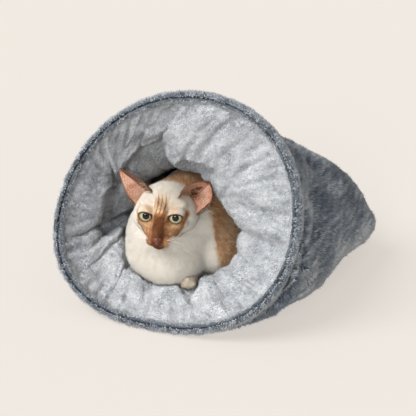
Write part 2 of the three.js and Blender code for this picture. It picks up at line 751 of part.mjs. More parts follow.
function makeHead() {
  const eyes = new THREE.Vector3(eyeRadius, eyeRadius * 0.7, eyeRadius);
  let holes = makeNeckJoint();
  for (const side of [-1, 1]) {
    const which = side < 0 ? 'right' : 'left';
    const at = onHead(side * eyeSpacing / 2, -39, 2);
    const out = new THREE.Vector3(side * 0.42, -1, 0.12).applyEuler(headTurn);
    holes = holes.add(makeButton('eye_' + which, at, out, eyes, eyeWasherRadius, eyePlastic));
    holes = holes.add(makeWhiskers(which, side));
  }
  const noseRadii = new THREE.Vector3(noseWidth / 2, 4, 4.5);
  const noseOut = new THREE.Vector3(0, -1, 0).applyEuler(headTurn);
  holes = holes.add(makeButton('nose', onHead(0, -60, -21), noseOut, noseRadii, 4.5, nosePlastic));

  const outside = headSolid(0);
  const shell = outside.subtract(headSolid(skinThickness)).subtract(holes);
  const maskSolid = (grown) => {
    const radii = new THREE.Vector3(30, 26, 32).addScalar(grown);
    return egg(onHead(0, -52, -12), radii, { turn: headTurn, across: 16, down: 10 });
  };
  add('face_panel', toGeometry(largest(shell.intersect(maskSolid(0)))), maskFur, cat);
  add('head_skin', toGeometry(largest(shell.subtract(maskSolid(seamGap)))), creamFur, cat);
  const fill = headSolid(skinThickness + seamGap).subtract(holes);
  add('head_wadding', toGeometry(largest(fill)), waddingWhite, cat);
}

function makeEars() {
  const skull = headSolid(-seamGap);
  const ear = (which, root, way, facing) => {
    const tip = new THREE.Vector3(...way).normalize().multiplyScalar(earLength).applyEuler(headTurn);
    makeEar(which, root, tip.add(root), new THREE.Vector3(...facing).applyEuler(headTurn), 62, skull);
  };
  ear('left', onHead(36, -3, 12), [0.62, -0.2, 0.76], [0.55, -1, 0]);
  ear('right', onHead(-32, -3, 12), [-0.72, 0.26, 0.66], [-0.3, -1, 0]);
}

makeBody();
makeTail(makeLegs(bodySolid(-seamGap)));
makeHead();
makeEars();

// ---------------------------------------------------------------- the frame

// The origin is the middle of the footprint, on the floor.
const box = new THREE.Box3().setFromObject(group);
group.position.set(-(box.min.x + box.max.x) / 2, -(box.min.y + box.max.y) / 2, -box.min.z);

export default group;
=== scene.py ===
# A plush cat lying in its padded cave bed. The sack's surfaces repeat the CAD's own functions, in mm.
import json
import math
import bmesh
import bpy
import numpy as np
from mathutils import Matrix, Vector


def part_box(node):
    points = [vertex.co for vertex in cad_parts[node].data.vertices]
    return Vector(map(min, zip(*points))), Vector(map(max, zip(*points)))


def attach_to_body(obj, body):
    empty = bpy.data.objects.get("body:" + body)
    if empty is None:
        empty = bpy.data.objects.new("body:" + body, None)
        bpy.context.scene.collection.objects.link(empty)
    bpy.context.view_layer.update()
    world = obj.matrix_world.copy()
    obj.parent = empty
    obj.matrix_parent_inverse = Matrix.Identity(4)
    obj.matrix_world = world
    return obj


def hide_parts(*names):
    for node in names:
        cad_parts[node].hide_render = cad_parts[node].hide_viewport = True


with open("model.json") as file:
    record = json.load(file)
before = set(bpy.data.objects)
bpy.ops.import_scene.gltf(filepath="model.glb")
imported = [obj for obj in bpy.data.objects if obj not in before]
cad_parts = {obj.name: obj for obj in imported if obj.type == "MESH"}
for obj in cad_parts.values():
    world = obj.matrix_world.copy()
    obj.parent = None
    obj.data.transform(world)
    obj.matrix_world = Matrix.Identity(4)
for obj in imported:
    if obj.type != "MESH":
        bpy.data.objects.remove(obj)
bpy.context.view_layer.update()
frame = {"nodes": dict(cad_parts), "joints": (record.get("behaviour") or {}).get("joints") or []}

MM = 0.001
HEAD_TURN = next(j for j in frame["joints"] if j["name"] == "head_turn")
NECK = np.array(HEAD_TURN["pos_m"]) * 1000
TURN_LIMIT = 35
OFFSET = NECK - np.array([-28.0, 109.21, 111.73])  # the sizes below have y = 0 at the mouth's floor edge


# ------------------------------------------------------------------ numbers and noise

def smoothstep(x, a, b):
    t = np.clip((x - a) / (b - a), 0, 1)
    return t * t * (3 - 2 * t)


def bump(x, centre, width):
    return np.exp(-((x - centre) / width) ** 2)


def unit(v):
    return v / np.maximum(np.linalg.norm(v, axis=-1, keepdims=True), 1e-9)


def ripple(p, wave, seed, waves=14):
    """A smooth random field over points, about -1 to 1, whose features are about one wave long."""
    rng = np.random.default_rng(seed)
    way = unit(rng.normal(size=(waves, 3)))
    k = 2 * np.pi / (wave * rng.uniform(0.7, 1.5, waves))
    phase = rng.uniform(0, 2 * np.pi, waves)
    return np.sin((p @ way.T) * k + phase).sum(-1) / math.sqrt(waves) * 0.8


def ripple3(p, wave, seed):
    """Three such fields, as a way for each point."""
    return np.stack([ripple(p, wave, seed + i) for i in range(3)], 1)


def steps(tone, top, least=0):
    """Tones rounded to the material slots there are."""
    return np.clip(np.round(tone), least, top).astype(int)


def turns(count):
    return np.arange(count) / count * 2 * np.pi


def pointed(normals, agreement):
    """Normals, turned over if they run against a way; the agreement is their product with it."""
    return -normals if agreement.sum() < 0 else normals


def laid(way, normals):
    """A way for each point, laid flat on its surface."""
    return way - normals * (way * normals).sum(1, keepdims=True)


# ------------------------------------------------------------------ meshes

def add(name, data):
    ob = bpy.data.objects.new(name, data)
    bpy.context.scene.collection.objects.link(ob)
    return ob


def paint_faces(me, slots):
    me.polygons.foreach_set("material_index", slots.astype(np.int32))


def make(name, verts, faces, materials, slots=None, normals=None):
    """verts in mm in the sack's frame; faces an (n, 3) or (n, 4) array, or a list of such arrays."""
    verts = verts.reshape(-1, 3)
    me = bpy.data.meshes.new(name)
    groups = faces if isinstance(faces, list) else [faces]
    loops = np.concatenate([f.ravel() for f in groups])
    sizes = np.concatenate([np.full(len(f), f.shape[1]) for f in groups])
    me.vertices.add(len(verts))
    me.vertices.foreach_set("co", ((verts + OFFSET) * MM).astype(np.float32).ravel())
    me.loops.add(len(loops))
    me.loops.foreach_set("vertex_index", loops.astype(np.int32))
    me.polygons.add(len(sizes))
    me.polygons.foreach_set("loop_start", (np.cumsum(sizes) - sizes).astype(np.int32))
    me.polygons.foreach_set("use_smooth", np.full(len(sizes), True))
    for m in materials:
        me.materials.append(m)
    if slots is not None:
        paint_faces(me, slots)
    me.update(calc_edges=True)
    if normals is not None:
        me.normals_split_custom_set_from_vertices([tuple(n) for n in normals.tolist()])
    return add(name, me)


def numbers(items, name, kind=np.float32):
    out = np.empty(len(items) * 3, kind)
    items.foreach_get(name, out)
    return out.reshape(-1, 3)


def read(ob):
    """The object's vertices in mm in the sack's frame, its triangles, and its vertex normals."""
    me = ob.data
    me.calc_loop_triangles()
    triangle_list = numbers(me.loop_triangles, "vertices", np.int32)
    return numbers(me.vertices, "co") / MM - OFFSET, triangle_list, numbers(me.vertices, "normal")


def write(ob, verts):
    ob.data.vertices.foreach_set("co", ((verts + OFFSET) * MM).astype(np.float32).ravel())
    ob.data.update()


def grid_faces(rows, cols, closed=False):
    r = np.arange(rows - 1)[:, None]
    c = np.arange(cols if closed else cols - 1)[None]
    d = (c + 1) % cols
    return np.stack([r * cols + c, r * cols + d, (r + 1) * cols + d, (r + 1) * cols + c], -1).reshape(-1, 4)


def apply_modifiers(ob):
    dg = bpy.context.evaluated_depsgraph_get()
    me = bpy.data.meshes.new_from_object(ob.evaluated_get(dg), depsgraph=dg)
    ob.modifiers.clear()
    old = ob.data
    ob.data = me
    bpy.data.meshes.remove(old)


def subdivide(ob):
    m = ob.modifiers.new("sub", "SUBSURF")
    m.levels = m.render_levels = 1
    apply_modifiers(ob)


def face_outwards(ob):
    bm = bmesh.new()
    bm.from_mesh(ob.data)
    bmesh.ops.recalc_face_normals(bm, faces=bm.faces)
    bm.to_mesh(ob.data)
    bm.free()


def attach(ob, body, slot, *nodes, fill=None):
    """Puts a piece on its body and hides the nodes it replaces. The material slot (slot) and how full it is
    stuffed (fill) are not used.
    """
    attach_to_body(ob, body)
    if nodes:
        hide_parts(*nodes)
    return ob


def skins(front, back):
    return np.concatenate([front.reshape(-1, 3), back.reshape(-1, 3)])


def rings(line, radius, one, two, count):
    """Rings of points round a line, each in the plane of two unit ways."""
    a = turns(count)[None, :, None]
    one, two = (np.broadcast_to(way, line.shape)[:, None] for way in (one, two))
    radius = np.broadcast_to(np.ravel(radius), len(line))[:, None, None]
    return line[:, None] + radius * (one * np.cos(a) + two * np.sin(a))


def two_skins(rows, cols):
    """Faces that close a sheet of two skins: the front skin's points come first, then the back skin's."""
    size = rows * cols
    f = grid_faces(rows, cols)
    down = np.arange(1, rows) * cols + cols - 1
    along = (rows - 1) * cols + np.arange(cols - 2, -1, -1)
    edge = np.concatenate([np.arange(cols), down, along, np.arange(rows - 2, 0, -1) * cols])
    nxt = np.roll(edge, -1)
    return np.concatenate([f, f[:, ::-1] + size, np.stack([nxt, edge, edge + size, nxt + size], 1)])


def ring_faces(count, around):
    """Faces of a tube of rings that closes on itself."""
    faces = grid_faces(count + 1, around, True)
    return np.where(faces >= count * around, faces - count * around, faces)


# ------------------------------------------------------------------ materials

def srgb(r, g, b):
    return tuple(((c / 255 + 0.055) / 1.055) ** 2.4 if c > 10 else c / 255 / 12.92 for c in (r, g, b)) + (1,)


class Mat:
    """A Principled material and short ways to add nodes to it."""

    def __init__(self, name, colour, rough=0.9, sheen=0.0, spec=0.2, metal=0.0, coat=0.0):
        self.m = bpy.data.materials.new(name)
        self.m.use_nodes = True
        self.nt = self.m.node_tree
        self.p = self.nt.nodes["Principled BSDF"]
        values = {"Base Color": srgb(*colour), "Roughness": rough, "Specular IOR Level": spec,
                  "Sheen Weight": sheen, "Sheen Roughness": 0.5, "Metallic": metal, "Coat Weight": coat}
        for socket, value in values.items():
            self.p.inputs[socket].default_value = value

    def node(self, kind, **values):
        n = self.nt.nodes.new("ShaderNode" + kind)
        for k, v in values.items():
            if k in n.inputs:
                n.inputs[k].default_value = v
            else:
                setattr(n, k, v)
        return n

    def link(self, a, b):
        self.nt.links.new(a, b)

    def paint(self, colour):
        self.link(colour, self.p.inputs["Base Color"])

    def noise(self, scale, detail=2.0, stretch=None, rough=0.55):
        n = self.node("TexNoise", Scale=scale, Detail=detail, Roughness=rough)
        source = self.node("TexCoord").outputs["Object"]
        if stretch:
            mapping = self.node("Mapping")
            mapping.inputs["Scale"].default_value = stretch
            self.link(source, mapping.inputs["Vector"])
            source = mapping.outputs["Vector"]
        self.link(source, n.inputs["Vector"])
        return n.outputs["Fac"]

    def ramp(self, value, stops):
        r = self.node("ValToRGB")
        while len(r.color_ramp.elements) < len(stops):
            r.color_ramp.elements.new(0.5)
        for e, (at, colour) in zip(r.color_ramp.elements, stops):
            e.position = at
            e.color = srgb(*colour)
        self.link(value, r.inputs["Fac"])
        return r.outputs["Color"]

    def mix(self, factor, a, b, blend="MIX"):
        n = self.node("Mix", data_type="RGBA", blend_type=blend)
        for value, socket in ((factor, n.inputs[0]), (a, n.inputs[6]), (b, n.inputs[7])):
            if isinstance(value, bpy.types.NodeSocket):
                self.link(value, socket)
            else:
                socket.default_value = value
        return n.outputs[2]

    def bump(self, heights, strength=0.6, distance=0.001):
        n = self.node("Bump", Strength=strength, Distance=distance)
        total = heights[0]
        for h in heights[1:]:
            add = self.node("Math", operation="ADD")
            self.link(total, add.inputs[0])
            self.link(h, add.inputs[1])
            total = add.outputs[0]
        self.link(total, n.inputs["Height"])
        self.link(n.outputs["Normal"], self.p.inputs["Normal"])

    def rough_between(self, value, low, high):
        n = self.node("MapRange")
        n.inputs["To Min"].default_value = low
        n.inputs["To Max"].default_value = high
        self.link(value, n.inputs["Value"])
        self.link(n.outputs["Result"], self.p.inputs["Roughness"])


def pile_tone(name, colour, sheen=0.25, rough=0.85):
    """One tone of a pile of fibres: plain colour, with the fine streaks of its fibres in the surface."""
    m = Mat(name, colour, rough, sheen, spec=0.15)
    fine = m.noise(2600, 2)
    m.bump([fine], 0.25, 0.0004)
    m.rough_between(fine, rough - 0.12, min(1, rough + 0.1))
    return m.m


def tones(name, colours, **options):
    return [pile_tone(f"{name}_{i}", c, **options) for i, c in enumerate(colours)]


def mottled(name, dark, mid, light, sheen=0.4, patch=45, fine=900, spec=0.15):
    m = Mat(name, mid, 0.9, sheen, spec=spec)
    broad = m.ramp(m.noise(patch, 3), [(0.35, dark), (0.5, mid), (0.66, light)])
    small = m.ramp(m.noise(fine, 3, rough=0.7), [(0.36, (175, 175, 175)), (0.6, (255, 255, 255))])
    m.paint(m.mix(1.0, broad, small, "MULTIPLY"))
    m.bump([m.noise(fine, 3), m.noise(260, 3)], 0.7, 0.0012)
    m.rough_between(m.noise(fine * 0.7, 2), 0.75, 1.0)
    return m.m


COVER = mottled("cover_backing", (52, 58, 66), (72, 79, 88), (96, 103, 111), 0.3)
COVER_TONES = tones("cover_fibre", [
    (48, 58, 71), (73, 84, 98), (99, 110, 123), (126, 135, 146), (156, 163, 170), (192, 196, 201)])
PLUSH = mottled("lining_plush", (168, 172, 178), (196, 200, 205), (216, 219, 223), 0.4, 40, 800)
PLUSH_TONES = tones("lining_fibre", [
    (146, 150, 156), (176, 180, 186), (199, 203, 208), (214, 217, 221), (230, 232, 235)])
BIND = mottled("binding_backing", (74, 82, 91), (98, 106, 116), (122, 131, 140), 0.3)
# Painted shade for the groove of the rim's seam, darker than the binding's own backing.
SEAM_GROOVE_SHADE = mottled("binding_seam_painted_shade", (34, 39, 45), (48, 54, 61), (66, 73, 81), 0.1, 90, 1500)
BASE = mottled("base_cloth", (58, 62, 68), (70, 75, 82), (80, 85, 92), 0.1, 30, 1200)
THREAD = mottled("tack_thread", (150, 155, 161), (172, 177, 183), (190, 194, 199), 0.2, 200, 2500)
TAPE = mottled("seam_tape", (46, 52, 59), (62, 69, 77), (80, 87, 95), 0.2, 80, 1500)
CAT_TONES = tones("cat_fibre", [
    (245, 239, 228), (239, 230, 215), (230, 212, 190), (214, 182, 148),
    (184, 141, 102), (158, 109, 70), (128, 80, 46), (96, 56, 31), (66, 38, 22)], sheen=0.15)
COVER_TOP, PLUSH_TOP, CAT_TOP = len(COVER_TONES) - 1, len(PLUSH_TONES) - 1, len(CAT_TONES) - 1


# ------------------------------------------------------------------ the sack's surfaces, as in the CAD

STATIONS = [0, 0.25, 0.5, 0.75, 1]
LENGTH, RIM_WALL, FLOOR_WALL = 356.0, 12.0, 36.0
CAVITY_HALF, THROAT, CAVITY_END = 110.0, 0.17, 0.86
REAR_THICK, REAR_LEVEL, LEAN_SIDE = 60.0, 50.0, 0.09


def profile(values):
    """three.js's CubicInterpolant with its default ends."""
    def at(v):
        v = np.clip(np.asarray(v, float), 0, 1)
        i1 = np.clip(np.searchsorted(STATIONS, v, side="right"), 1, 4)
        t, y = np.array(STATIONS, float), np.array(values, float)
        i0 = i1 - 1
        ip, nx = np.where(i1 >= 2, i1 - 2, i1), np.where(i1 <= 3, np.minimum(i1 + 1, 4), i1 - 1)
        tp = np.where(i1 >= 2, t[np.maximum(i1 - 2, 0)], t[i1])
        tn = np.where(i1 <= 3, t[np.minimum(i1 + 1, 4)], t[i0])
        half = 0.5 * (t[i1] - t[i0])
        wp, wn = half / (t[i0] - tp), half / (tn - t[i1])
        p = (v - t[i0]) / (t[i1] - t[i0])
        q, r = p * p, p * p * p
        before = -wp * r + 2 * wp * q - wp * p
        here = (1 + wp) * r + (-1.5 - 2 * wp) * q + (wp - 0.5) * p + 1
        there = (-1 - wn) * r + (1.5 + wn) * q + 0.5 * p
        after = wn * r - wn * q
        return before * y[ip] + here * y[i0] + there * y[i1] + after * y[nx]
    return at


f_y = profile([s * LENGTH for s in STATIONS])
f_lean = profile([22, 14, 6, 1, 0])
f_half = profile([168, 174, 190, 193, 190])
f_high = profile([312, 275, 229, 184, REAR_THICK])
f_level = profile([0.44, 0.3, 0.34, 0.3, 0.5])
f_below = profile([2.3, 2.5, 2.7, 2.6, 2.2])
f_above = profile([2.05, 2.05, 2.1, 2.2, 2.2])
f_centre = profile([-26, -24, -14, -10, -10])
f_roof = profile([56, 56, 48, 34, 26])
SAG, SAG_ANGLE, SAG_SPREAD = 22.0, 52.0, 26.0


def oval(angle, half, depth, rise, below, above):
    c, s = np.cos(np.radians(angle)), np.sin(np.radians(angle))
    power = np.where(s < 0, below, above)
    reach = np.where(s < 0, depth, rise)
    return half * np.sign(c) * np.abs(c) ** (2 / power), reach * np.sign(s) * np.abs(s) ** (2 / power)


def outer_outline(v, angle):
    high = f_high(v)
    level = f_level(v) * high
    flat = 7 * smoothstep(v, 0, 0.15) * (1 - smoothstep(v, 0.85, 1))
    x, y = oval(angle, f_half(v), level + flat, high - level, f_below(v), f_above(v))
    return x + LEAN_SIDE * (1 - v) * y, np.maximum(y + level, 0)


def lining_outline(v, angle):
    ex, ey = outer_outline(v, angle)
    my = f_level(v) * f_high(v)
    d = np.hypot(ex, my - ey)
    rx, ry = ex - ex / d * RIM_WALL, ey + (my - ey) / d * RIM_WALL
    floor = FLOOR_WALL / np.cos(np.radians(f_lean(v)))
    roof = f_high(v) - f_roof(v)
    level = floor + 0.42 * (roof - floor)
    cx, cy = oval(angle, CAVITY_HALF, level - floor, roof - level, 2.6, 2.3)
    spread = ((angle + 62) % 360 - 62 - SAG_ANGLE) / SAG_SPREAD
    reach = np.hypot(cx, cy)
    reach = (reach - SAG * np.exp(-spread ** 2) * (1 - smoothstep(v, 0.3, 0.6))) / reach
    cx, cy = cx * reach, cy * reach
    k = smoothstep(v, 0, THROAT)
    return rx + (cx + f_centre(v) - rx) * k, ry + (cy + level - ry) * k


def place(v, x, y):
    lean = np.radians(f_lean(v))
    pull = 34 * smoothstep(v, 0.88, 0.97) * np.abs(x / f_half(v)) ** 4
    base = 2.2 * (1 - smoothstep(v, 0, 0.12)) + (REAR_LEVEL - REAR_THICK / 2) * smoothstep(v, 0.78, 1)
    return np.stack([x, f_y(v) + y * np.sin(lean) - pull, base + y * np.cos(lean)], -1)


def outer(v, angle):
    return place(v, *outer_outline(v, angle))


def inner(v, angle):
    return place(v, *lining_outline(v, angle))


def away(v, angle):
    """The way from the lining out to the cover, in space."""
    return unit(outer(v, angle) - inner(v, angle))


def surface_normals(points, closed=True):
    """Unit normals of a grid of points (rows, columns), by differences."""
    du = np.roll(points, -1, 1) - np.roll(points, 1, 1) if closed else np.gradient(points, axis=1)
    dv = np.gradient(points, axis=0)
    return unit(np.cross(du, dv))


# ------------------------------------------------------------------ fur

def scatter(verts, tris, normals, count, rng, keep=None):
    """Random points on triangles, evenly by area, with their normals."""
    verts, normals = verts.reshape(-1, 3), normals.reshape(-1, 3)
    a, b, c = verts[tris[:, 0]], verts[tris[:, 1]], verts[tris[:, 2]]
    area = np.linalg.norm(np.cross(b - a, c - a), axis=1)
    if keep is not None:
        area = area * keep((a + b + c) / 3)
    pick = rng.choice(len(tris), count, p=area / area.sum())
    u, w = rng.random((2, count))
    flip = u + w > 1
    u[flip], w[flip] = 1 - u[flip], 1 - w[flip]
    a, b, c = tris[pick].T
    mix = lambda q: q[a] * (1 - u - w)[:, None] + q[b] * u[:, None] + q[c] * w[:, None]
    return mix(verts), unit(mix(normals))


# Numbers of fibres: in 60 degrees of the lining, in 100 degrees of the cover, and on the whole of each other skin.
LINING_FUR, COVER_FUR, RIM_FUR, TAPE_FUR = 13000, 34000, 21000, 9000
HEAD_FUR, BODY_FUR, LEFT_LEG_FUR, RIGHT_LEG_FUR, TAIL_FUR = 46000, 49000, 5000, 3000, 3500
EAR_FUR, EAR_HAIR = 6000, 140
FLOOR_GAP = 0.2  # the least height of a fibre over the floor, mm
SINK = 0.6  # how deep a fibre's root sits in its skin, mm


def tufts(name, body, slot, roots, normals, lean, length, width, tones_used, materials, rng, soft, short=True):
    """Closed, tapered tufts of fibre. A short one is a single spike and a long one bends half way up."""
    n = len(roots)
    root_tone, tip_tone = tones_used
    up = unit(normals + lean)
    side = unit(np.cross(up, unit(rng.normal(size=(n, 3)))))
    other = np.cross(up, side)
    corners = [side * math.cos(a) + other * math.sin(a) for a in (0, 2.094, 4.189)]
    ring = lambda centre, r: [centre + corner * r[:, None] for corner in corners]
    base = roots - normals * SINK
    bent = unit(up + lean * 0.5 + rng.normal(scale=0.12, size=(n, 3)))
    if short:
        points = np.stack([*ring(base, width), base + up * length[:, None]], 1)
        one = np.array([[0, 2, 1], [0, 1, 3], [1, 2, 3], [2, 0, 3]])
        slots = np.stack([root_tone, tip_tone, tip_tone, tip_tone], 1)
    else:
        middle = base + up * (length * 0.55)[:, None]
        tip = middle + bent * (length * 0.5)[:, None]
        points = np.stack([*ring(base, width), *ring(middle, width * 0.8), tip], 1)
        one = np.array([[0, 2, 1], [0, 1, 4], [0, 4, 3], [1, 2, 5], [1, 5, 4], [2, 0, 3], [2, 3, 5],
                        [3, 4, 6], [4, 5, 6], [5, 3, 6]])
        slots = np.concatenate([np.repeat(root_tone[:, None], 7, 1), np.repeat(tip_tone[:, None], 3, 1)], 1)
    k = points.shape[1]
    faces = (np.arange(n) * k)[:, None, None] + one[None]
    flat = points.reshape(-1, 3)
    flat[:, 2] = np.maximum(flat[:, 2], FLOOR_GAP)
    own = unit(flat - np.repeat(points.mean(1), k, 0))
    shade = unit(np.repeat(normals, k, 0) * soft + own * (1 - soft))
    attach(make(name, flat, faces.reshape(-1, 3), materials, slots.ravel(), normals=shade), body, slot)


# ------------------------------------------------------------------ the bed

# The tucks that divide the lining's lobes: the angle of each, and how far the lobe after it swells
# at the mouth and again deeper in the cave, in mm. The last angle is the first again, a turn later.
TUCKS = [98, 112, 142, 192, 207, 220, 246, 268, 287, 311, 330, 347, 362, 458]
SWELL = [(16, 32), (24, 36), (20, 34), (13, 16), (15, 28), (15, 38), (13, 18), (13, 14), (14, 16), (15, 22),
         (12, 14), (11, 10), (26, 34)]
FOLDS = {"lining_front_lip": (205, 311), "lining_lower_right": (311, 343), "lining_right": (343, 385),
         "lining_upper_right": (25, 96), "lining_upper_left": (96, 150), "lining_left": (150, 205)}
# Painted light and shade on each lobe, in steps of tone: lighter on the front lip, which faces up into the light,
# darker on the left wall, which faces away from it.
LOBE_PAINTED_LIGHT = {"lining_front_lip": 1.0, "lining_lower_right": 0.3, "lining_right": -0.2, "lining_left": -1.1,
       "lining_upper_left": -0.5}


def wrap(a):
    return (a + 180) % 360 - 180


def lobe(angle):
    """For an angle: the pillow shape of its lobe (0 in a tuck, 1 in the middle) and the lobe's two swells."""
    a = (np.asarray(angle, float) - TUCKS[0]) % 360 + TUCKS[0]
    i = np.clip(np.searchsorted(TUCKS, a, side="right") - 1, 0, len(SWELL) - 1)
    edges = np.array(TUCKS, float)
    wide = edges[i + 1] - edges[i]
    t = 2 * (a - edges[i]) / wide - 1
    swell = np.array(SWELL, float)[i]
    return 1 - np.abs(t) ** (1.6 + wide / 14), swell[..., 0], swell[..., 1]


def cat_distance(p):
    paws = np.minimum(capsule(p, *LEG_LEFT, 10, 9.5), capsule(p, *LEG_RIGHT, 10, 9.5))
    ears = [ear_distance(to_head(turned(p, -angle))) for angle in (0, 9, 18, 27, TURN_LIMIT)]
    return np.minimum.reduce([body_shape(p), head_shape(to_head(p)), paws, *ears])


def turned(p, degrees):
    """Points turned about the neck's joint."""
    spin = np.array(Matrix.Rotation(math.radians(degrees), 3, Vector(HEAD_TURN["axis"])))
    pivot = NECK - OFFSET
    return (p - pivot) @ spin.T + pivot


def ear_distance(q):
    """The left ear, which passes close to the hood as the head turns."""
    tip = (57, -4, 41)
    edges = [capsule(q, (30, -8, 30), tip, 8.5, 8.5), capsule(q, (52, 0, 9), tip, 8.5, 8.5)]
    return np.minimum(capsule(q, (36, -5, 14), tip, 10, 8.5), np.minimum(*edges))


def clear_of_cat(p, way, gap):
    """Moves points of the lining back towards the cover until they are clear of the cat."""
    short = gap - cat_distance(p)
    p = p + way * np.clip(0.5 * (short + np.sqrt(short ** 2 + 30)) - 0.4, 0, 14)[..., None]
    for _ in range(5):
        short = gap - cat_distance(p)
        p = p + way * np.clip(short, 0, 14)[..., None]
    return p


def lining_surface(v, angle):
    p = inner(v, angle)
    way = away(v, angle)
    pillow, front, deep = lobe(angle)
    hood = smoothstep(wrap(angle - 61), -59, -40) * (1 - smoothstep(wrap(angle - 61), 26, 37))
    top_left = smoothstep(angle % 360, 97, 104) * (1 - smoothstep(angle % 360, 140, 150))
    low_left = smoothstep(angle % 360, 206, 212) * (1 - smoothstep(angle % 360, 242, 250))
    roll = bump(v, 0.12, 0.062) * (1 - hood) * (1 - low_left) + bump(v, 0.17, 0.1) * hood
    roll = roll + 1.7 * bump(v, 0.2, 0.09) * low_left
    puff = front * roll * (0.25 + 0.75 * pillow) - 3.0 * (1 - pillow) ** 4 * bump(v, 0.13, 0.09)
    puff = puff + deep * bump(v, 0.4, 0.15) * (0.7 + 0.3 * pillow)
    puff = puff + top_left * (7 * bump(v, 0.155, 0.04) - 19 * bump(v, 0.225, 0.028))
    puff = puff - bump(wrap(angle - 99), 0, 8) * (15 * bump(v, 0.16, 0.05) + 9 * bump(v, 0.26, 0.06))
    puff = puff + 4.5 * ripple(p * np.array([1, 0.7, 1]), 38, 12) * bump(v, 0.33, 0.12)
    round_mouth = np.radians(angle)
    gather = np.sin(round_mouth * 37 + 3.0 * ripple(p, 150, 2))
    gather = gather + 0.7 * np.sin(round_mouth * 61 + 4 * ripple(p, 120, 4))
    puff = puff + 1.5 * gather * bump(v, 0.06, 0.045) * (1 - 0.6 * hood)
    puff = puff + 2.6 * ripple(p * np.array([1, 0.6, 1]), 44, 3) * smoothstep(v, 0.02, 0.1)
    puff = puff + 1.1 * ripple(p, 19, 7) * smoothstep(v, 0.02, 0.08)
    return clear_of_cat(p - way * (puff * smoothstep(v, 0, 0.03))[..., None], way, 4.5)


CLOTH_FRAMES, CLOTH_PRESSURE, CLOTH_SHRINK, CLOTH_MASS = 16, 2.5, -0.06, 0.25
CLOTH_REACH = 9.0  # the farthest the simulation may move a point, mm


def simulate(ob, pinned):
    """Inflates a cloth between its pinned points, and applies the result, moving no point too far."""
    start, _, _ = read(ob)
    group = ob.vertex_groups.new(name="pin")
    pinned = np.round(pinned, 1)
    for level in np.unique(pinned[pinned > 0]):
        group.add([int(i) for i in np.flatnonzero(pinned == level)], float(level), "REPLACE")
    cloth = ob.modifiers.new("cloth", "CLOTH")
    s = cloth.settings
    s.quality = 5
    s.mass = CLOTH_MASS
    s.tension_stiffness = s.compression_stiffness = 12
    s.shear_stiffness = 6
    s.bending_stiffness = 0.4
    s.vertex_group_mass = "pin"
    s.shrink_min = CLOTH_SHRINK
    s.use_pressure = True
    s.uniform_pressure_force = CLOTH_PRESSURE
    s.effector_weights.gravity = 0
    cloth.collision_settings.use_collision = False
    cloth.collision_settings.use_self_collision = False
    scene = bpy.context.scene
    for f in range(1, CLOTH_FRAMES + 1):
        scene.frame_set(f)
    apply_modifiers(ob)
    scene.frame_set(1)
    ob.vertex_groups.clear()
    moved, _, _ = read(ob)
    step = moved - start
    size = np.linalg.norm(step, axis=1, keepdims=True)
    write(ob, start + step * np.minimum(1, CLOTH_REACH / np.maximum(size, 1e-6)))


def sheet(v, cols):
    """The angles of a grid round the sack, and its two coordinates at each point."""
    angle = np.arange(cols) / cols * 360
    return angle, *np.meshgrid(v, angle, indexing="ij")


def make_lining():
    cols, rows = 288, 72
    v = np.concatenate([np.linspace(0.003, 0.3, 54), np.linspace(0.3, CAVITY_END, rows - 53)[1:]])
    angle, vv, aa = sheet(v, cols)
    pts = lining_surface(vv, aa)
    ob = make("lining_whole", pts, grid_faces(rows, cols, True), [PLUSH])
    pin = np.zeros((rows, cols))
    pin[:3] = 1
    pin[vv > 0.45] = 1
    pillow = lobe(aa)[0]
    pin = np.maximum(pin, smoothstep(1 - pillow, 0.8, 0.98) * bump(vv, 0.14, 0.08))
    simulate(ob, pin.ravel())
    moved, _, _ = read(ob)
    bpy.data.objects.remove(ob)
    moved = moved.reshape(rows, cols, 3)
    return clear_of_cat(moved, away(vv, aa), 2.5), v, angle


PAD = 6  # how thick the lining is as a padded sheet, mm
PILE_ROWS = 60  # the lining's rows that have pile; those past them cannot be seen


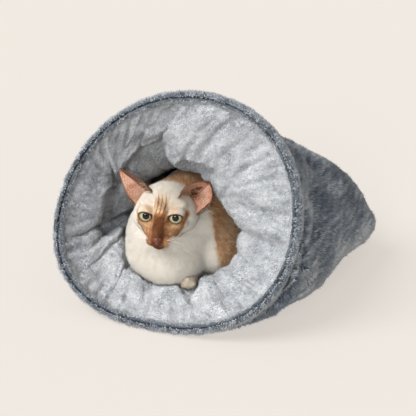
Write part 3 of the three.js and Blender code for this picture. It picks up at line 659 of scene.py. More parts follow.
def make_lobes():
    grid, v, angle = make_lining()
    rows, cols = grid.shape[:2]
    normals = surface_normals(grid)
    normals = pointed(normals, -normals[20] * away(np.full(cols, v[20]), angle))
    make_end_panel(grid)
    make_tacks(grid, normals)
    rng = np.random.default_rng(11)
    for name, (a0, a1) in FOLDS.items():
        i0, i1 = round(a0 / 360 * cols), round(a1 / 360 * cols)
        idx = np.arange(i0, i1 + 4) % cols
        under = np.zeros(len(idx))
        under[-3:] = 1.4, 2.2, 3.0  # a tongue that is tucked under the next lobe
        front = grid[:, idx] - normals[:, idx] * under[:, None]
        both = skins(front, front - normals[:, idx] * PAD)
        ob = make(name + "_plush", both, two_skins(rows, len(idx)), [PLUSH])
        subdivide(ob)
        p, t, nr = read(ob)
        p = p + nr * (0.55 * ripple(p, 4.2, 5) + 0.9 * ripple(p, 13, 6))[:, None]
        write(ob, p)
        attach(ob, "bed", "plush_lining", name, name.replace("lining", "wadding"), fill=0.7)

        # Its pile, which lies towards the mouth and is thickest where it can be seen.
        idx = idx[:-3]
        part, fn = grid[:PILE_ROWS, idx], normals[:PILE_ROWS, idx]
        count = int(LINING_FUR * (a1 - a0) / 60)
        skin = triangles(grid_faces(PILE_ROWS, len(idx)))
        roots, rn = scatter(part, skin, fn, count, rng)
        patch = ripple(roots, 30, 8) + 1.1 * ripple(roots, 6.5, 9)
        # Painted light: each lobe's painted light and shade, plus a lighter tone deep in the cave, where little
        # light reaches.
        light = LOBE_PAINTED_LIGHT.get(name, 0) + 1.5 * smoothstep(roots[:, 1], 110, 170)
        tone = steps(2.3 + light + 0.75 * patch + rng.normal(scale=0.7, size=count), PLUSH_TOP)
        lean = np.array([0, -0.5, -0.25]) + rng.normal(scale=0.35, size=(count, 3))
        lean = lean + 0.4 * ripple3(roots, 24, 21)
        tufts(name + "_pile", "bed", "plush_lining", roots, rn, lean, rng.uniform(2.4, 4.2, count),
              rng.uniform(0.5, 0.85, count), (np.maximum(tone - 1, 0), tone), PLUSH_TONES, rng, 0.9)


def triangles(quads):
    return np.concatenate([quads[:, [0, 1, 2]], quads[:, [0, 2, 3]]])


def cover_surface(v, angle):
    """The furry cover: a cuff behind the rim at the right, a crease after it, and folds from there."""
    p = outer(v, angle)
    way = away(v, angle)
    side = smoothstep(np.abs(wrap(angle - 270)), 24, 44)
    low_right = smoothstep(wrap(angle + 30), -38, -22) * (1 - smoothstep(wrap(angle + 30), 22, 44))
    cuff = low_right * (4.5 * bump(v, 0.03, 0.02) - 11 * bump(v, 0.078, 0.02) + 5 * bump(v, 0.14, 0.035))
    spread = p - outer(np.array(0.06), np.array(-3.0))
    far = np.linalg.norm(spread, axis=-1)
    ray = np.arctan2(spread[..., 2], spread[..., 1] + 6)
    star = 6.0 * np.cos(8 * ray + 1.2 * ripple(p, 90, 35)) * bump(far, 0, 85) * (1 - bump(far, 0, 16))
    star = star * smoothstep(p[..., 0], 40, 90)
    dents = 4.5 * ripple(p, 110, 32) * smoothstep(v, 0.04, 0.2) * side * (1 - smoothstep(v, 0.9, 1))
    folds = 2.2 * ripple(p * np.array([1, 0.4, 1]), 44, 33) * smoothstep(v, 0.03, 0.12) * side
    sag = -4 * bump(wrap(angle - 60), 0, 55) * bump(v, 0.3, 0.16)
    sag = sag + bump(wrap(angle - 32), 0, 42) * (13 * bump(v, 0.8, 0.13) - 7 * bump(v, 0.5, 0.07))
    return p + way * ((cuff + star * side + dents + folds + sag) - 2.5 * side)[..., None]


def pocket_faces(rows, cols):
    """Faces of a pocket of two skins, whose far end is sewn shut from side to side."""
    size = rows * cols
    f = grid_faces(rows, cols, True)
    half = cols // 2
    last = size - cols
    ring = np.arange(cols)
    nxt = (ring + 1) % cols
    rim = np.stack([ring, nxt, nxt + size, ring + size], 1)
    mirror = (cols - ring) % cols
    far = np.stack([ring[:half], nxt[:half], mirror[nxt[:half]], mirror[:half]], 1)[1:-1] + last
    ends = np.array([[0, 1, cols - 1], [half - 1, half, half + 1]]) + last
    both_ends = np.concatenate([ends, ends[:, ::-1] + size])
    return [np.concatenate([f, f[:, ::-1] + size, rim, far, far[:, ::-1] + size]), both_ends]


TAPE_ROWS = 8


def make_tape(pts, normals):
    """The tape over the rear seam: the cover's last rings, a little proud, pinched flat past its end."""
    cols = pts.shape[1]
    ring, out = pts[-TAPE_ROWS:], normals[-TAPE_ROWS:]
    rows = [ring[i] + out[i] * (0.8 + 1.2 * smoothstep(i, 0, 1.5)) for i in range(TAPE_ROWS)]
    middle = pts[-1, :, 2].mean()
    for past, share in ((1.6, 0.45), (3.2, 0.8), (4.2, 0.94)):
        row = rows[TAPE_ROWS - 1].copy()
        row[:, 1] += past
        row[:, 2] += (middle - row[:, 2]) * share
        rows.append(row)
    shell = np.stack(rows)
    stitches = 0.5 * np.maximum(0, np.cos(np.arange(cols) * 2 * np.pi / 3))
    face = surface_normals(shell)
    face = pointed(face, face[4] * out[4])
    for row in (2, 6):
        shell[row] += face[row] * (stitches - 0.5)[:, None]
    shell += face * (0.3 * ripple(shell, 12, 37))[..., None]
    shell[..., 2] = np.maximum(shell[..., 2], 0.3)
    inside = shell - face * 1.4
    inside[..., 2] = np.maximum(inside[..., 2], 0.25)
    ob = make("rear_tape", skins(shell, inside), pocket_faces(len(rows), cols), [TAPE])
    attach(ob, "bed", "binding", "rear_seam_tape")
    rng = np.random.default_rng(13)
    past_seam = triangles(grid_faces(len(rows), cols, True)[(TAPE_ROWS - 1) * cols:])
    roots, rn = scatter(shell, past_seam, face, TAPE_FUR, rng)
    pile_on("rear_tape_pile", roots, rn, rng, 0.6)


def make_end_panel(grid):
    """The plush panel at the far end of the cave, a shallow cushion with a pinched middle."""
    last = grid[-1]
    cols, rings = len(last), 26
    middle = last.mean(0)
    s = np.linspace(1.03, 0.03, rings)[:, None]
    flat = middle + (last - middle) * s[..., None]
    flat[..., 1] += 3 - 9 * np.clip(1 - s ** 4, 0, 1) + 7 * np.exp(-(s / 0.16) ** 2)
    radial = np.cos(turns(cols) * 9)[None] * np.exp(-((s - 0.22) / 0.2) ** 2)
    flat[..., 1] += 1.6 * radial + 1.2 * ripple(flat, 30, 38)
    back = flat + np.array([0, 6.0, 0])
    size = rings * cols
    f = grid_faces(rings, cols, True)
    c = np.arange(cols)
    d = (c + 1) % cols
    pole = 2 * size
    inner = size - cols
    caps = np.concatenate([np.stack([inner + c, inner + d, np.full(cols, pole)], 1),
                           np.stack([inner + d + size, inner + c + size, np.full(cols, pole + 1)], 1)])
    faces = [np.concatenate([f, f[:, ::-1] + size, np.stack([d, c, c + size, d + size], 1)]), caps]
    verts = np.concatenate([flat.reshape(-1, 3), back.reshape(-1, 3), [flat[-1].mean(0)], [back[-1].mean(0)]])
    ob = make("end_panel", verts, faces, [PLUSH])
    attach(ob, "bed", "plush_lining", "lining_back", fill=0.5)


def make_tacks(grid, normals):
    """Bar tacks: six turns of thread over the tuck between two lobes, at the lining's nearest point."""
    for i in range(1, 6):
        name = f"lining_tack_{i}"
        lo, hi = (np.array(c) * 1000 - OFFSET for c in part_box(name))
        far = np.linalg.norm(grid - (lo + hi) / 2, axis=-1)
        r, c = np.unravel_index(np.argmin(far), far.shape)
        n = normals[r, c]
        along = unit(grid[r + 1, c] - grid[r - 1, c])
        across = np.cross(n, along)
        verts, faces = [], []
        for k in range(6):
            s = np.linspace(-1, 1, 9)[:, None]
            line = grid[r, c] + along * (k - 2.5) * 1.5 + across * s * 4 + n * (2.6 - 3.4 * s ** 2)
            lift = unit(np.cross(unit(np.gradient(line, axis=0)), along))
            verts.append(rings(line, 0.62, along, lift, 8).reshape(-1, 3))
            faces.append(grid_faces(9, 8, True) + k * len(verts[0]))
        ob = make(name + "_thread", np.concatenate(verts), np.concatenate(faces), [THREAD])
        attach(ob, "bed", "thread", name)


def make_cover():
    cols, rows = 360, 150
    v = np.linspace(0.012, 1.0, rows)
    angle, vv, aa = sheet(v, cols)
    pts = cover_surface(vv, aa)
    pts[..., 2] = np.maximum(pts[..., 2], 0.4)
    # The last rows close over the rear seam.
    for k, share in ((rows - 3, 0.12), (rows - 2, 0.3), (rows - 1, 0.62)):
        middle = pts[k, :, 2].mean()
        pts[k, :, 2] += (middle - pts[k, :, 2]) * share
    under = np.abs(wrap(aa - 270)) < 26
    normals = surface_normals(pts)
    normals = pointed(normals, normals[60] * away(np.full(cols, v[60]), angle))
    f = grid_faces(rows, cols, True)
    ob = make("cover_backing", skins(pts, pts - normals * 3), pocket_faces(rows, cols), [COVER, BASE])
    attach(ob, "bed", "fur_cover", "cover_upper", "cover_base", "wadding_back", fill=0.55)
    slots = np.zeros(len(ob.data.polygons))
    slots[:len(f)] = under.ravel()[f[:, 0]]
    paint_faces(ob.data, slots)

    # The long pile, in four strips.
    rng = np.random.default_rng(5)
    tri = triangles(f)
    fa = aa.ravel()
    strips = {"right": (20, 50), "top": (120, 50), "left": (208, 38), "lower_right": (-49, 19)}
    for name, (middle, half) in strips.items():
        use = tri[(np.abs(wrap(fa[tri[:, 0]] - middle)) <= half) & (tri.max(1) < (rows - TAPE_ROWS + 1) * cols)]
        roots, rn = scatter(pts, use, normals, int(COVER_FUR * half / 50), rng)
        pile_on(f"cover_pile_{name}", roots, rn, rng)
    make_tape(pts, normals)


def pile_on(name, roots, rn, rng, size=1.0):
    """Long frosted pile on the bed's outside. It lies back from the mouth and down."""
    count = len(roots)
    streak = ripple(roots * np.array([1, 0.35, 1]), 9, 43)
    patch = 0.75 * ripple(roots, 75, 41) + 0.5 * ripple(roots * np.array([1, 0.5, 1]), 26, 42) + 0.75 * streak
    clump = 0.4 * ripple3(roots, 16, 51)
    lean = laid(np.array([0.0, 0.9, -0.5]) + clump + rng.normal(scale=0.2, size=(count, 3)), rn)
    tone = 2.1 + 1.25 * patch + 0.7 * bump(roots[:, 2], 50, 45) + rng.normal(scale=0.55, size=count)
    both = steps(tone - 1.0, COVER_TOP), steps(tone + 0.7, COVER_TOP)
    tufts(name, "bed", "fur_cover", roots, rn, lean * 1.7, rng.uniform(4.5, 7.5, count) * size,
          rng.uniform(0.6, 1.0, count), both, COVER_TONES, rng, 0.8)


def make_rim():
    """The fur binding: a soft roll round the mouth, with the groove of its seam on the inner side, painted dark as
    shade.
    """
    cols, ring = 420, 40
    angle = np.arange(cols) / cols * 360
    x, y = outer_outline(np.zeros(cols), angle)
    middle = f_level(0) * f_high(0)
    d = np.hypot(x, middle - y)
    x, y = x - x / d * RIM_WALL / 2, y + (middle - y) / d * RIM_WALL / 2
    centre = place(np.zeros(cols), x, y)
    tangent = unit(np.roll(centre, -1, 0) - np.roll(centre, 1, 0))
    lean = f_lean(0) * math.pi / 180
    back = np.array([0, math.cos(lean), -math.sin(lean)])
    out = unit(np.cross(tangent, back))
    out = pointed(out, out * (centre - centre.mean(0)))
    turn = np.linspace(0, 2 * np.pi, ring, endpoint=False)[None]
    seam = 250  # degrees round the roll
    groove = bump(turn, np.radians(seam), 0.28)
    stitch = 0.35 * np.cos(np.arange(cols) * 1.1)[:, None] * bump(turn, np.radians(seam), 0.6)
    r = 6.6 - 2.6 * groove + stitch + 0.35 * ripple(centre, 26, 60)[:, None]
    pts = centre[:, None] + (np.cos(turn) * r)[..., None] * out[:, None] + (np.sin(turn) * r)[..., None] * back
    pts[..., 2] = np.maximum(pts[..., 2], 0.3)
    faces = ring_faces(cols, ring)
    # The groove's faces take the dark seam material, as painted shade.
    dark = (groove[0] > 0.45)[faces[:, 0] % ring].astype(int)
    ob = make("rim_roll", pts, faces[:, ::-1], [BIND, SEAM_GROOVE_SHADE], dark)
    attach(ob, "bed", "binding", "rim_binding")

    rng = np.random.default_rng(9)
    v, t, n = read(ob)
    n = pointed(n, n * (v - centre.repeat(ring, 0)))
    at = np.degrees(np.tile(turn[0], cols))[t].mean(1)
    furry = (np.abs(wrap(at - seam)) >= 20) & (np.abs(wrap(at - 160)) > 25)
    count = RIM_FUR
    roots, rn = scatter(v, t[furry], n, count, rng)
    lean = np.array([0.0, 0.75, -0.3]) + 0.4 * ripple3(roots, 13, 71) + rng.normal(scale=0.25, size=(count, 3))
    tone = 4.1 + 0.6 * ripple(roots, 12, 74) + rng.normal(scale=0.5, size=count)
    both = steps(tone - 0.8, COVER_TOP), steps(tone + 0.2, COVER_TOP)
    tufts("rim_pile", "bed", "binding", roots, rn, lean, rng.uniform(2.4, 4.4, count),
          rng.uniform(0.5, 0.8, count), both, COVER_TONES, rng, 0.75)


# ------------------------------------------------------------------ sculpting

def ell(p, c, r):
    q = (p - np.array(c, float)) / np.array(r, float)
    k0 = np.linalg.norm(q, axis=-1)
    k1 = np.linalg.norm(q / np.array(r, float), axis=-1)
    return k0 * (k0 - 1) / np.maximum(k1, 1e-9)


def capsule(p, a, b, ra, rb):
    a, b = np.array(a, float), np.array(b, float)
    t = np.clip(((p - a) @ (b - a)) / ((b - a) @ (b - a)), 0, 1)
    return np.linalg.norm(p - a - t[..., None] * (b - a), axis=-1) - (ra + (rb - ra) * t)


def join(a, b, k):
    h = np.clip(0.5 + 0.5 * (b - a) / k, 0, 1)
    return b * (1 - h) + a * h - k * h * (1 - h)


def cut(a, b, k):
    return -join(-a, b, k)


def icosphere(level):
    bm = bmesh.new()
    bmesh.ops.create_icosphere(bm, subdivisions=level, radius=1)
    v = np.array([tuple(x.co) for x in bm.verts])
    f = np.array([[x.index for x in q.verts] for q in bm.faces])
    bm.free()
    return v, f


def sculpt(shape, centre, level, towards=(0, 0, 0), reach=220.0):
    """The surface of a shape seen from a centre, as points on rays. towards draws the points together."""
    way, faces = icosphere(level)
    way = unit(way + np.array(towards, float))
    lo, hi = np.full(len(way), 1.0), np.full(len(way), reach)
    # March in from outside to the first surface, then halve.
    steps = np.linspace(reach, 1, 90)
    found = np.zeros(len(way), bool)
    for a, b in zip(steps[:-1], steps[1:]):
        inside = (shape(centre + way * b) < 0) & ~found
        lo[inside], hi[inside] = b, a
        found |= inside
    for _ in range(14):
        mid = (lo + hi) / 2
        inside = shape(centre + way * mid[:, None]) < 0
        lo, hi = np.where(inside, mid, lo), np.where(inside, hi, mid)
    return centre + way * lo[:, None], faces


# ------------------------------------------------------------------ the cat

HEAD = np.array([-28.0, 92.0, 136.3])
YAW = math.radians(12)
TURN = np.array([[math.cos(YAW), -math.sin(YAW), 0], [math.sin(YAW), math.cos(YAW), 0], [0, 0, 1]])
EYE = np.array([19.8, -31.0, 0.4])
EYE_R = 10.4
LID_UP, LID_LOW, LID_TILT = (4.6, 11.3), (4.2, 10.9), 2  # centre and radius of each lid's arc
CAVE_FLOOR = 38.0  # what the cat lies on
LEG_LEFT = ((6, 100, 50), (16, 58, 43.5))
LEG_RIGHT = ((-40, 96, 50), (-42, 68, 46))


def to_head(p):
    return (p - HEAD) @ TURN


def from_head(p):
    return np.asarray(p, float) @ TURN.T + HEAD


def mirrored(q):
    return np.stack([np.abs(q[..., 0]), q[..., 1], q[..., 2]], -1)


def head_shape(q):
    """q in head coordinates: x to the cat's left, -y forwards, z up."""
    m = mirrored(q)
    d = ell(q, (0, 5, -3), (37, 39, 31))
    d = join(d, ell(m, (20, -6, -13), (20, 23, 18)), 12)
    d = join(d, ell(q, (0, -32, -12), (14, 22, 14)), 12)
    d = join(d, capsule(q, (0, -32, 7), (0, -55, -17), 8.0, 5.6), 7)
    d = join(d, ell(m, (12, -29, -19), (12, 17, 12)), 9)
    d = join(d, ell(m, (7.5, -49.5, -26.5), (9.2, 10.5, 7.4)), 4)
    d = join(d, ell(q, (0, -46, -34), (8, 9, 6)), 5)
    d = join(d, ell(m, (17, -21, 11), (12, 7, 4.4)), 8)
    d = join(d, ell(m, (22, -30, -9), (11, 9, 5)), 6)
    d = join(d, np.linalg.norm(m - EYE, axis=-1) - (EYE_R + 1.1), 3)
    # The opening between the lids: straighter above than below, and tilted up at its outer end.
    e = m - EYE
    u, w = in_lids(e)
    upper = np.hypot(u - 0.6, w + LID_UP[0]) - LID_UP[1]
    lower = np.hypot(u, w - LID_LOW[0]) - LID_LOW[1]
    d = cut(d, np.maximum(np.maximum(upper, lower), e[..., 1] + 3.0), 0.7)
    groove = capsule(m, (0, -62, -29), (0, -60, -32), 0.6, 0.5)
    line = capsule(m, (0, -59, -32.5), (8, -53, -34), 0.8, 0.8)
    return cut(cut(d, groove, 1.2), line, 1.5)


def in_lids(e):
    c, s = math.cos(math.radians(LID_TILT)), math.sin(math.radians(LID_TILT))
    return e[..., 0] * c + e[..., 2] * s, -e[..., 0] * s + e[..., 2] * c


def head_fade(q):
    """Colour of the head: 0 cream to 1 dark brown."""
    x, y, z = q[..., 0], q[..., 1], q[..., 2]
    ax = np.abs(x)
    wedge = np.interp(z, [-44, -38, -33, -21, -14, -2, 6], [9, 12, 16, 25, 29, 34, 32])
    low = 14 * smoothstep(-z, 4, 16)
    front = smoothstep(-y, 12 - low, 22 - low)
    mask = (1 - smoothstep(ax, wedge - 2.5, wedge + 1.5)) * (1 - smoothstep(z, 1, 9)) * front
    edge = bump(ax, wedge - 2.5, 2.6) * (1 - smoothstep(z, 0, 4)) * front
    bridge = (1 - smoothstep(ax, 6, 10 + 0.25 * np.maximum(-z, 0))) * (1 - smoothstep(z, 2, 14))
    bridge = bridge * smoothstep(-y, 28, 36)
    brow = 0.33 * bump(ax, 14, 16) * bump(z, 8, 9) * front
    grain = np.maximum(0, np.cos(x * 1.35 + 1.2 * np.sin(z * 0.35))) ** 2
    stripes = (0.36 + 0.34 * grain) * (1 - smoothstep(ax, 7, 11)) * smoothstep(z, 0, 6)
    stripes = stripes * (1 - smoothstep(z, 16, 27)) * smoothstep(-y, 8, 20)
    crown = 0.13 * (1 - smoothstep(ax, 10, 24)) * bump(z, 24, 10)
    pads = bump(x, 15, 5) * bump(z, -28, 4.5) * smoothstep(-y, 38, 44)
    under = bump(ax, 20, 8) * bump(z, -9.5, 2.6)
    fade = mask * (0.52 - 0.12 * under) + 0.1 * edge
    fade = np.maximum.reduce([fade, bridge * 0.8, stripes, brow, crown])
    fade = np.maximum(fade, 0.6 * smoothstep(-y, 40, 50) * (1 - smoothstep(ax, 14, 19)))
    lids = 0.66 * (1 - smoothstep(np.hypot(ax - EYE[0] + 9.5, z - EYE[2] + 2.5), 2, 5)) * front
    return np.clip(np.maximum(fade, lids) - 0.24 * pads, 0, 1)


def nape(p):
    return ell(p, (-32, 146, 108), (47, 42, 42))


def body_shape(p):
    d = ell(p, (-33, 113, 84), (56, 57, 56))
    d = join(d, ell(p, (-29, 96, 66), (52, 48, 34)), 12)
    d = join(d, ell(p, (-16, 88, 60), (36, 42, 26)), 12)
    d = join(d, nape(p), 12)
    d = join(d, ell(p, (-12, 190, 92), (72, 106, 66)), 12)
    d = join(d, ell(p, (-60, 226, 72), (27, 58, 38)), 12)
    d = join(d, ell(p, (40, 226, 72), (29, 58, 38)), 12)
    d = join(d, ell(p, (34, 140, 66), (32, 46, 32)), 12)
    room = np.linalg.norm(p - HEAD - np.array([0, -2, 0]), axis=-1) - 42
    d = cut(d, room, 4)
    return np.maximum(d, CAVE_FLOOR + 0.2 - p[..., 2])


def body_fade(p):
    x, y, z = p[..., 0], p[..., 1], p[..., 2]
    back = 0.58 * smoothstep(nape(p), 1.5, 8) * smoothstep(y, 132, 144)
    behind_head = 0.5 * smoothstep(y, 120, 131) * smoothstep(z, 114, 124)
    flank = 0.46 * smoothstep(y + 0.9 * (x - 20), 112, 124) * smoothstep(x, 4, 16)
    low = 0.25 * bump(z, 42, 8) * smoothstep(x, 0, 30)
    return np.clip(np.maximum.reduce([back, behind_head, flank, low]) + 0.04 * ripple(p, 40, 81), 0, 1)


def short_fur(name, ob, fade, count, lean, length, seed, body, slot, keep, width):
    rng = np.random.default_rng(seed)
    v, t, n = read(ob)
    roots, rn = scatter(v, t, n, count, rng, keep)
    way = lean(roots) + rng.normal(scale=0.16, size=(count, 3)) + 0.15 * ripple3(roots, 14, seed)
    tone = fade(roots) * CAT_TOP + 0.45 * ripple(roots, 9, seed + 5) + rng.normal(scale=0.45, size=count)
    tip = steps(tone, CAT_TOP)
    long = length(roots) * rng.uniform(0.75, 1.2, count)
    tufts(name, body, slot, roots, rn, laid(way, rn) * 1.7, long, rng.uniform(*width, count),
          (np.minimum(tip + 1, CAT_TOP), tip), CAT_TONES, rng, 0.88)


def tone_slots(ob, fade):
    """Gives each face of a skin the tone that its place has."""
    c = numbers(ob.data.polygons, "center") / MM - OFFSET
    paint_faces(ob.data, steps(fade(c) * CAT_TOP + 0.6 + 0.5 * ripple(c, 6, 90), CAT_TOP))


def make_head():
    pts, faces = sculpt(head_shape, np.zeros(3), 6, towards=(0, -0.5, -0.08), reach=90)
    ob = make("head_plush", from_head(pts), faces, CAT_TONES)
    fade = lambda p: head_fade(to_head(p))
    tone_slots(ob, fade)
    attach(ob, "cat_head", "cream_plush", "head_skin", "face_panel", "head_wadding", fill=0.9)

    def lean(p):
        q = to_head(p)
        apart = np.sign(q[:, 0]) * 0.55 * smoothstep(np.abs(q[:, 0]), 2, 14)
        return np.stack([apart, np.full(len(q), 0.9), 0.44 * np.sign(q[:, 2] + 6)], -1) @ TURN.T

    def length(p):
        q = to_head(p)
        face = smoothstep(-q[:, 1], 18, 44)
        return 5.2 - 3.6 * face + 2.2 * smoothstep(np.abs(q[:, 0]), 30, 46)

    def keep(p):
        q = to_head(p)
        m = mirrored(q)
        eye = np.hypot((m[:, 0] - EYE[0]) / 9.8, (m[:, 2] - EYE[2]) / 6.6)
        nose = np.hypot(q[:, 0] / 6.0, (q[:, 2] + 23) / 4.5) + np.maximum(0, q[:, 1] + 58) * 0.2
        thick = (0.35 + 0.65 * smoothstep(-q[:, 1], -20, 20)) * (1 + 1.6 * smoothstep(-q[:, 1], 25, 40))
        return (eye > 1.0) * (nose > 1.0) * thick

    short_fur("head_pile", ob, fade, HEAD_FUR, lean, length, 101, "cat_head", "cream_plush", keep, (0.3, 0.5))


def make_body():
    pts, faces = sculpt(body_shape, np.array([-20.0, 150.0, 80.0]), 6, reach=190)
    ob = make("body_plush", pts, faces, CAT_TONES)
    tone_slots(ob, body_fade)
    attach(ob, "cat_body", "cream_plush", "chest_skin", "back_skin", "body_wadding", "hind_leg_left",
           "hind_leg_right", fill=0.8)

    def lean(p):
        down = np.array([0.0, 0.25, -0.9]) * (1 - smoothstep(p[:, 1], 120, 160))[:, None]
        back = np.array([0.0, 0.9, -0.2]) * smoothstep(p[:, 1], 120, 160)[:, None]
        return down + back

    length = lambda p: 6.5 - 1.5 * smoothstep(p[:, 1], 120, 170)
    keep = lambda p: (p[:, 2] > 42) * (1 + 2.2 * (p[:, 1] < 165))
    short_fur("body_pile", ob, body_fade, BODY_FUR, lean, length, 121, "cat_body", "cream_plush", keep,
              (0.45, 0.75))


def limb(name, path, radii, fade, slot, seed, count, toes=False):
    """A leg or the tail: a rounded tube along a path, with toes at its front end."""
    path, radii = np.array(path, float), np.array(radii, float)
    n = 26
    t = np.linspace(0, 1, len(path))
    s = np.linspace(0, 1, n)
    line = np.stack([np.interp(s, t, path[:, i]) for i in range(3)], 1)
    for _ in range(3):
        line[1:-1] = (line[:-2] + 2 * line[1:-1] + line[2:]) / 4
    r = np.interp(s, t, radii) * np.sqrt(np.clip(1 - (2 * s - 1) ** 18, 0.02, 1))
    tangent = unit(np.gradient(line, axis=0))
    side = unit(np.cross(tangent, [0, 0, 1]))
    up = np.cross(side, tangent)
    ring = 24
    a = turns(ring)
    pts = rings(line, r, side, up, ring)
    if toes:
        swell = 1.6 * smoothstep(s, 0.8, 0.97)[:, None] * np.cos(a * 4) * np.abs(np.sin(a / 2)) ** 0.3
        pts += unit(pts - line[:, None]) * swell[..., None]
    pts[..., 2] = np.maximum(pts[..., 2], CAVE_FLOOR)
    flat = pts.reshape(-1, 3)
    faces = grid_faces(n, ring, True)[:, ::-1]
    ends = [line[0] - tangent[0] * r[0] * 0.3, line[-1] + tangent[-1] * r[-1] * 0.3]
    k = len(flat)
    c = np.arange(ring)
    cap0 = np.stack([np.full(ring, k), c, (c + 1) % ring], 1)
    cap1 = np.stack([np.full(ring, k + 1), (n - 1) * ring + (c + 1) % ring, (n - 1) * ring + c], 1)
    ob = make(name + "_plush", np.concatenate([flat, ends]), [faces, cap0[:, ::-1], cap1[:, ::-1]], CAT_TONES)
    face_outwards(ob)
    subdivide(ob)
    tone_slots(ob, fade)
    attach(ob, "cat_body", slot, name, fill=0.85)
    along = unit(path[-1] - path[0])
    lean = lambda p: np.tile(along * 0.8 + np.array([0, 0, -0.2]), (len(p), 1))
    keep = lambda p: p[:, 2] > CAVE_FLOOR + 1.5
    short_fur(name + "_pile", ob, fade, count, lean, lambda p: np.full(len(p), 3.6), seed, "cat_body", slot, keep,
              (0.4, 0.65))


def make_limbs():
    paw = lambda p: np.full(p.shape[:-1], 0.2)
    limb("foreleg_left", LEG_LEFT, [10, 9.5], paw, "cream_plush", 141, LEFT_LEG_FUR, True)
    limb("foreleg_right", LEG_RIGHT, [10, 9.5], paw, "cream_plush", 142, RIGHT_LEG_FUR, True)
    tail = [(-4, 300, 62), (26, 300, 56), (54, 284, 51), (70, 252, 50), (76, 222, 50)]
    brown = lambda p: np.full(p.shape[:-1], 0.72)
    limb("tail", tail, [11, 11, 10.5, 9, 7], brown, "brown_plush", 143, TAIL_FUR)


def eye_materials():
    """The eye's colours from its edge in to the pupil, and the dark skin of the lids."""
    made = []
    for name, colour in (("eye_white", (92, 74, 50)), ("eye_iris_outer", (168, 158, 122)),
                         ("eye_iris_inner", (200, 193, 158)), ("eye_pupil", (2, 2, 2))):
        m = Mat(name, colour, 0.07, spec=0.4, coat=0.15)
        if name != "eye_pupil":
            dark, light = (tuple(int(c * k) for c in colour) for k in (0.72, 1.08))
            m.paint(m.ramp(m.noise(900, 3, rough=0.6), [(0.3, dark), (0.55, colour), (0.75, light)]))
        m.bump([m.noise(40, 1)], 0.02, 0.0001)
        made.append(m.m)
    skin = Mat("lid_skin", (52, 32, 22), 0.45, 0.1, spec=0.4)
    skin.bump([skin.noise(1500, 2)], 0.4, 0.0003)
    skin.rough_between(skin.noise(700, 2), 0.35, 0.6)
    return made, skin.m


def make_eyes():
    colours, skin = eye_materials()
    v, f = icosphere(6)
    for side, which in ((-1, "right"), (1, "left")):
        centre = EYE * np.array([side, 1, 1])
        way = unit(np.array([side * -0.02 + 0.12, -1.0, 0.2]))
        # Rings of colour by the angle from the eye's axis, on the faces themselves.
        ob = make("eyeball_" + which, from_head(centre + v * EYE_R), f, colours)
        off = np.degrees(np.arccos(np.clip(unit(v[f].mean(1)) @ way, -1, 1)))
        paint_faces(ob.data, np.select([off < 26, off < 39, off < 60], [3, 2, 1], 0))
        attach(ob, "cat_head", "eye_plastic", "eye_" + which)
        lid_line(which, side, centre, skin)


def lid_line(which, side, centre, skin):
    """The dark line of the lids on the ball, thick above and thin below, with a dark inner corner."""
    a = np.linspace(-1, 1, 40)
    reach = 9.0
    upper = np.stack([a * reach, np.sqrt(LID_UP[1] ** 2 - (a * reach - 0.6) ** 2) - LID_UP[0]], 1)
    lower = np.stack([a[::-1] * reach, LID_LOW[0] - np.sqrt(LID_LOW[1] ** 2 - (a[::-1] * reach) ** 2)], 1)
    lower[:, 1] = np.minimum(lower[:, 1], upper[::-1, 1] - 0.2)
    loop = np.concatenate([upper[:-1], lower[:-1]])
    tilt = math.radians(LID_TILT)
    x = (loop[:, 0] * math.cos(tilt) - loop[:, 1] * math.sin(tilt)) * side
    z = loop[:, 0] * math.sin(tilt) + loop[:, 1] * math.cos(tilt)
    y = -np.sqrt(np.maximum((EYE_R + 0.7) ** 2 - x * x - z * z, 9))
    thick = np.repeat([1.05, 0.55], len(a) - 1)
    thick += 0.7 * np.exp(-((loop[:, 0] + reach) / 2.5) ** 2)
    lid_tube("eye_rim_" + which, from_head(centre + np.stack([x, y, z], 1)), thick, skin)


def lid_tube(name, loop, radius, skin):
    n, ring = len(loop), 8
    tangent = unit(np.roll(loop, -1, 0) - np.roll(loop, 1, 0))
    centre = loop.mean(0)
    out = unit(laid(loop - centre, tangent))
    pts = rings(loop, radius, out, np.cross(tangent, out), ring)
    ob = make(name, pts, ring_faces(n, ring), [skin])
    subdivide(ob)
    attach(ob, "cat_head", "brown_plush")


def make_nose():
    def shape(q):
        m = mirrored(q)
        d = ell(q, (0, -59.5, -20.5), (6.2, 4.2, 3.2))
        d = join(d, ell(q, (0, -60, -24.5), (3.2, 3.6, 4.2)), 2.5)
        d = join(d, ell(m, (4.0, -58.6, -22.3), (3.0, 3.2, 2.6)), 1.6)
        nostril = capsule(m, (2.6, -63.4, -23.4), (4.6, -62.0, -22.2), 0.8, 1.0)
        return cut(d, nostril, 0.9)
    pts, faces = sculpt(shape, np.array([0, -59.3, -22.3]), 5, reach=14)
    m = Mat("nose_skin", (118, 66, 50), 0.42, 0.0, spec=0.45)
    m.paint(m.ramp(m.noise(220, 3), [(0.35, (92, 48, 36)), (0.6, (124, 70, 54)), (0.8, (142, 86, 68))]))
    m.bump([m.noise(1800, 2)], 0.5, 0.0003)
    m.rough_between(m.noise(500, 2), 0.35, 0.55)
    ob = make("nose_pad", from_head(pts), faces, [m.m])
    attach(ob, "cat_head", "nose_plastic", "nose")


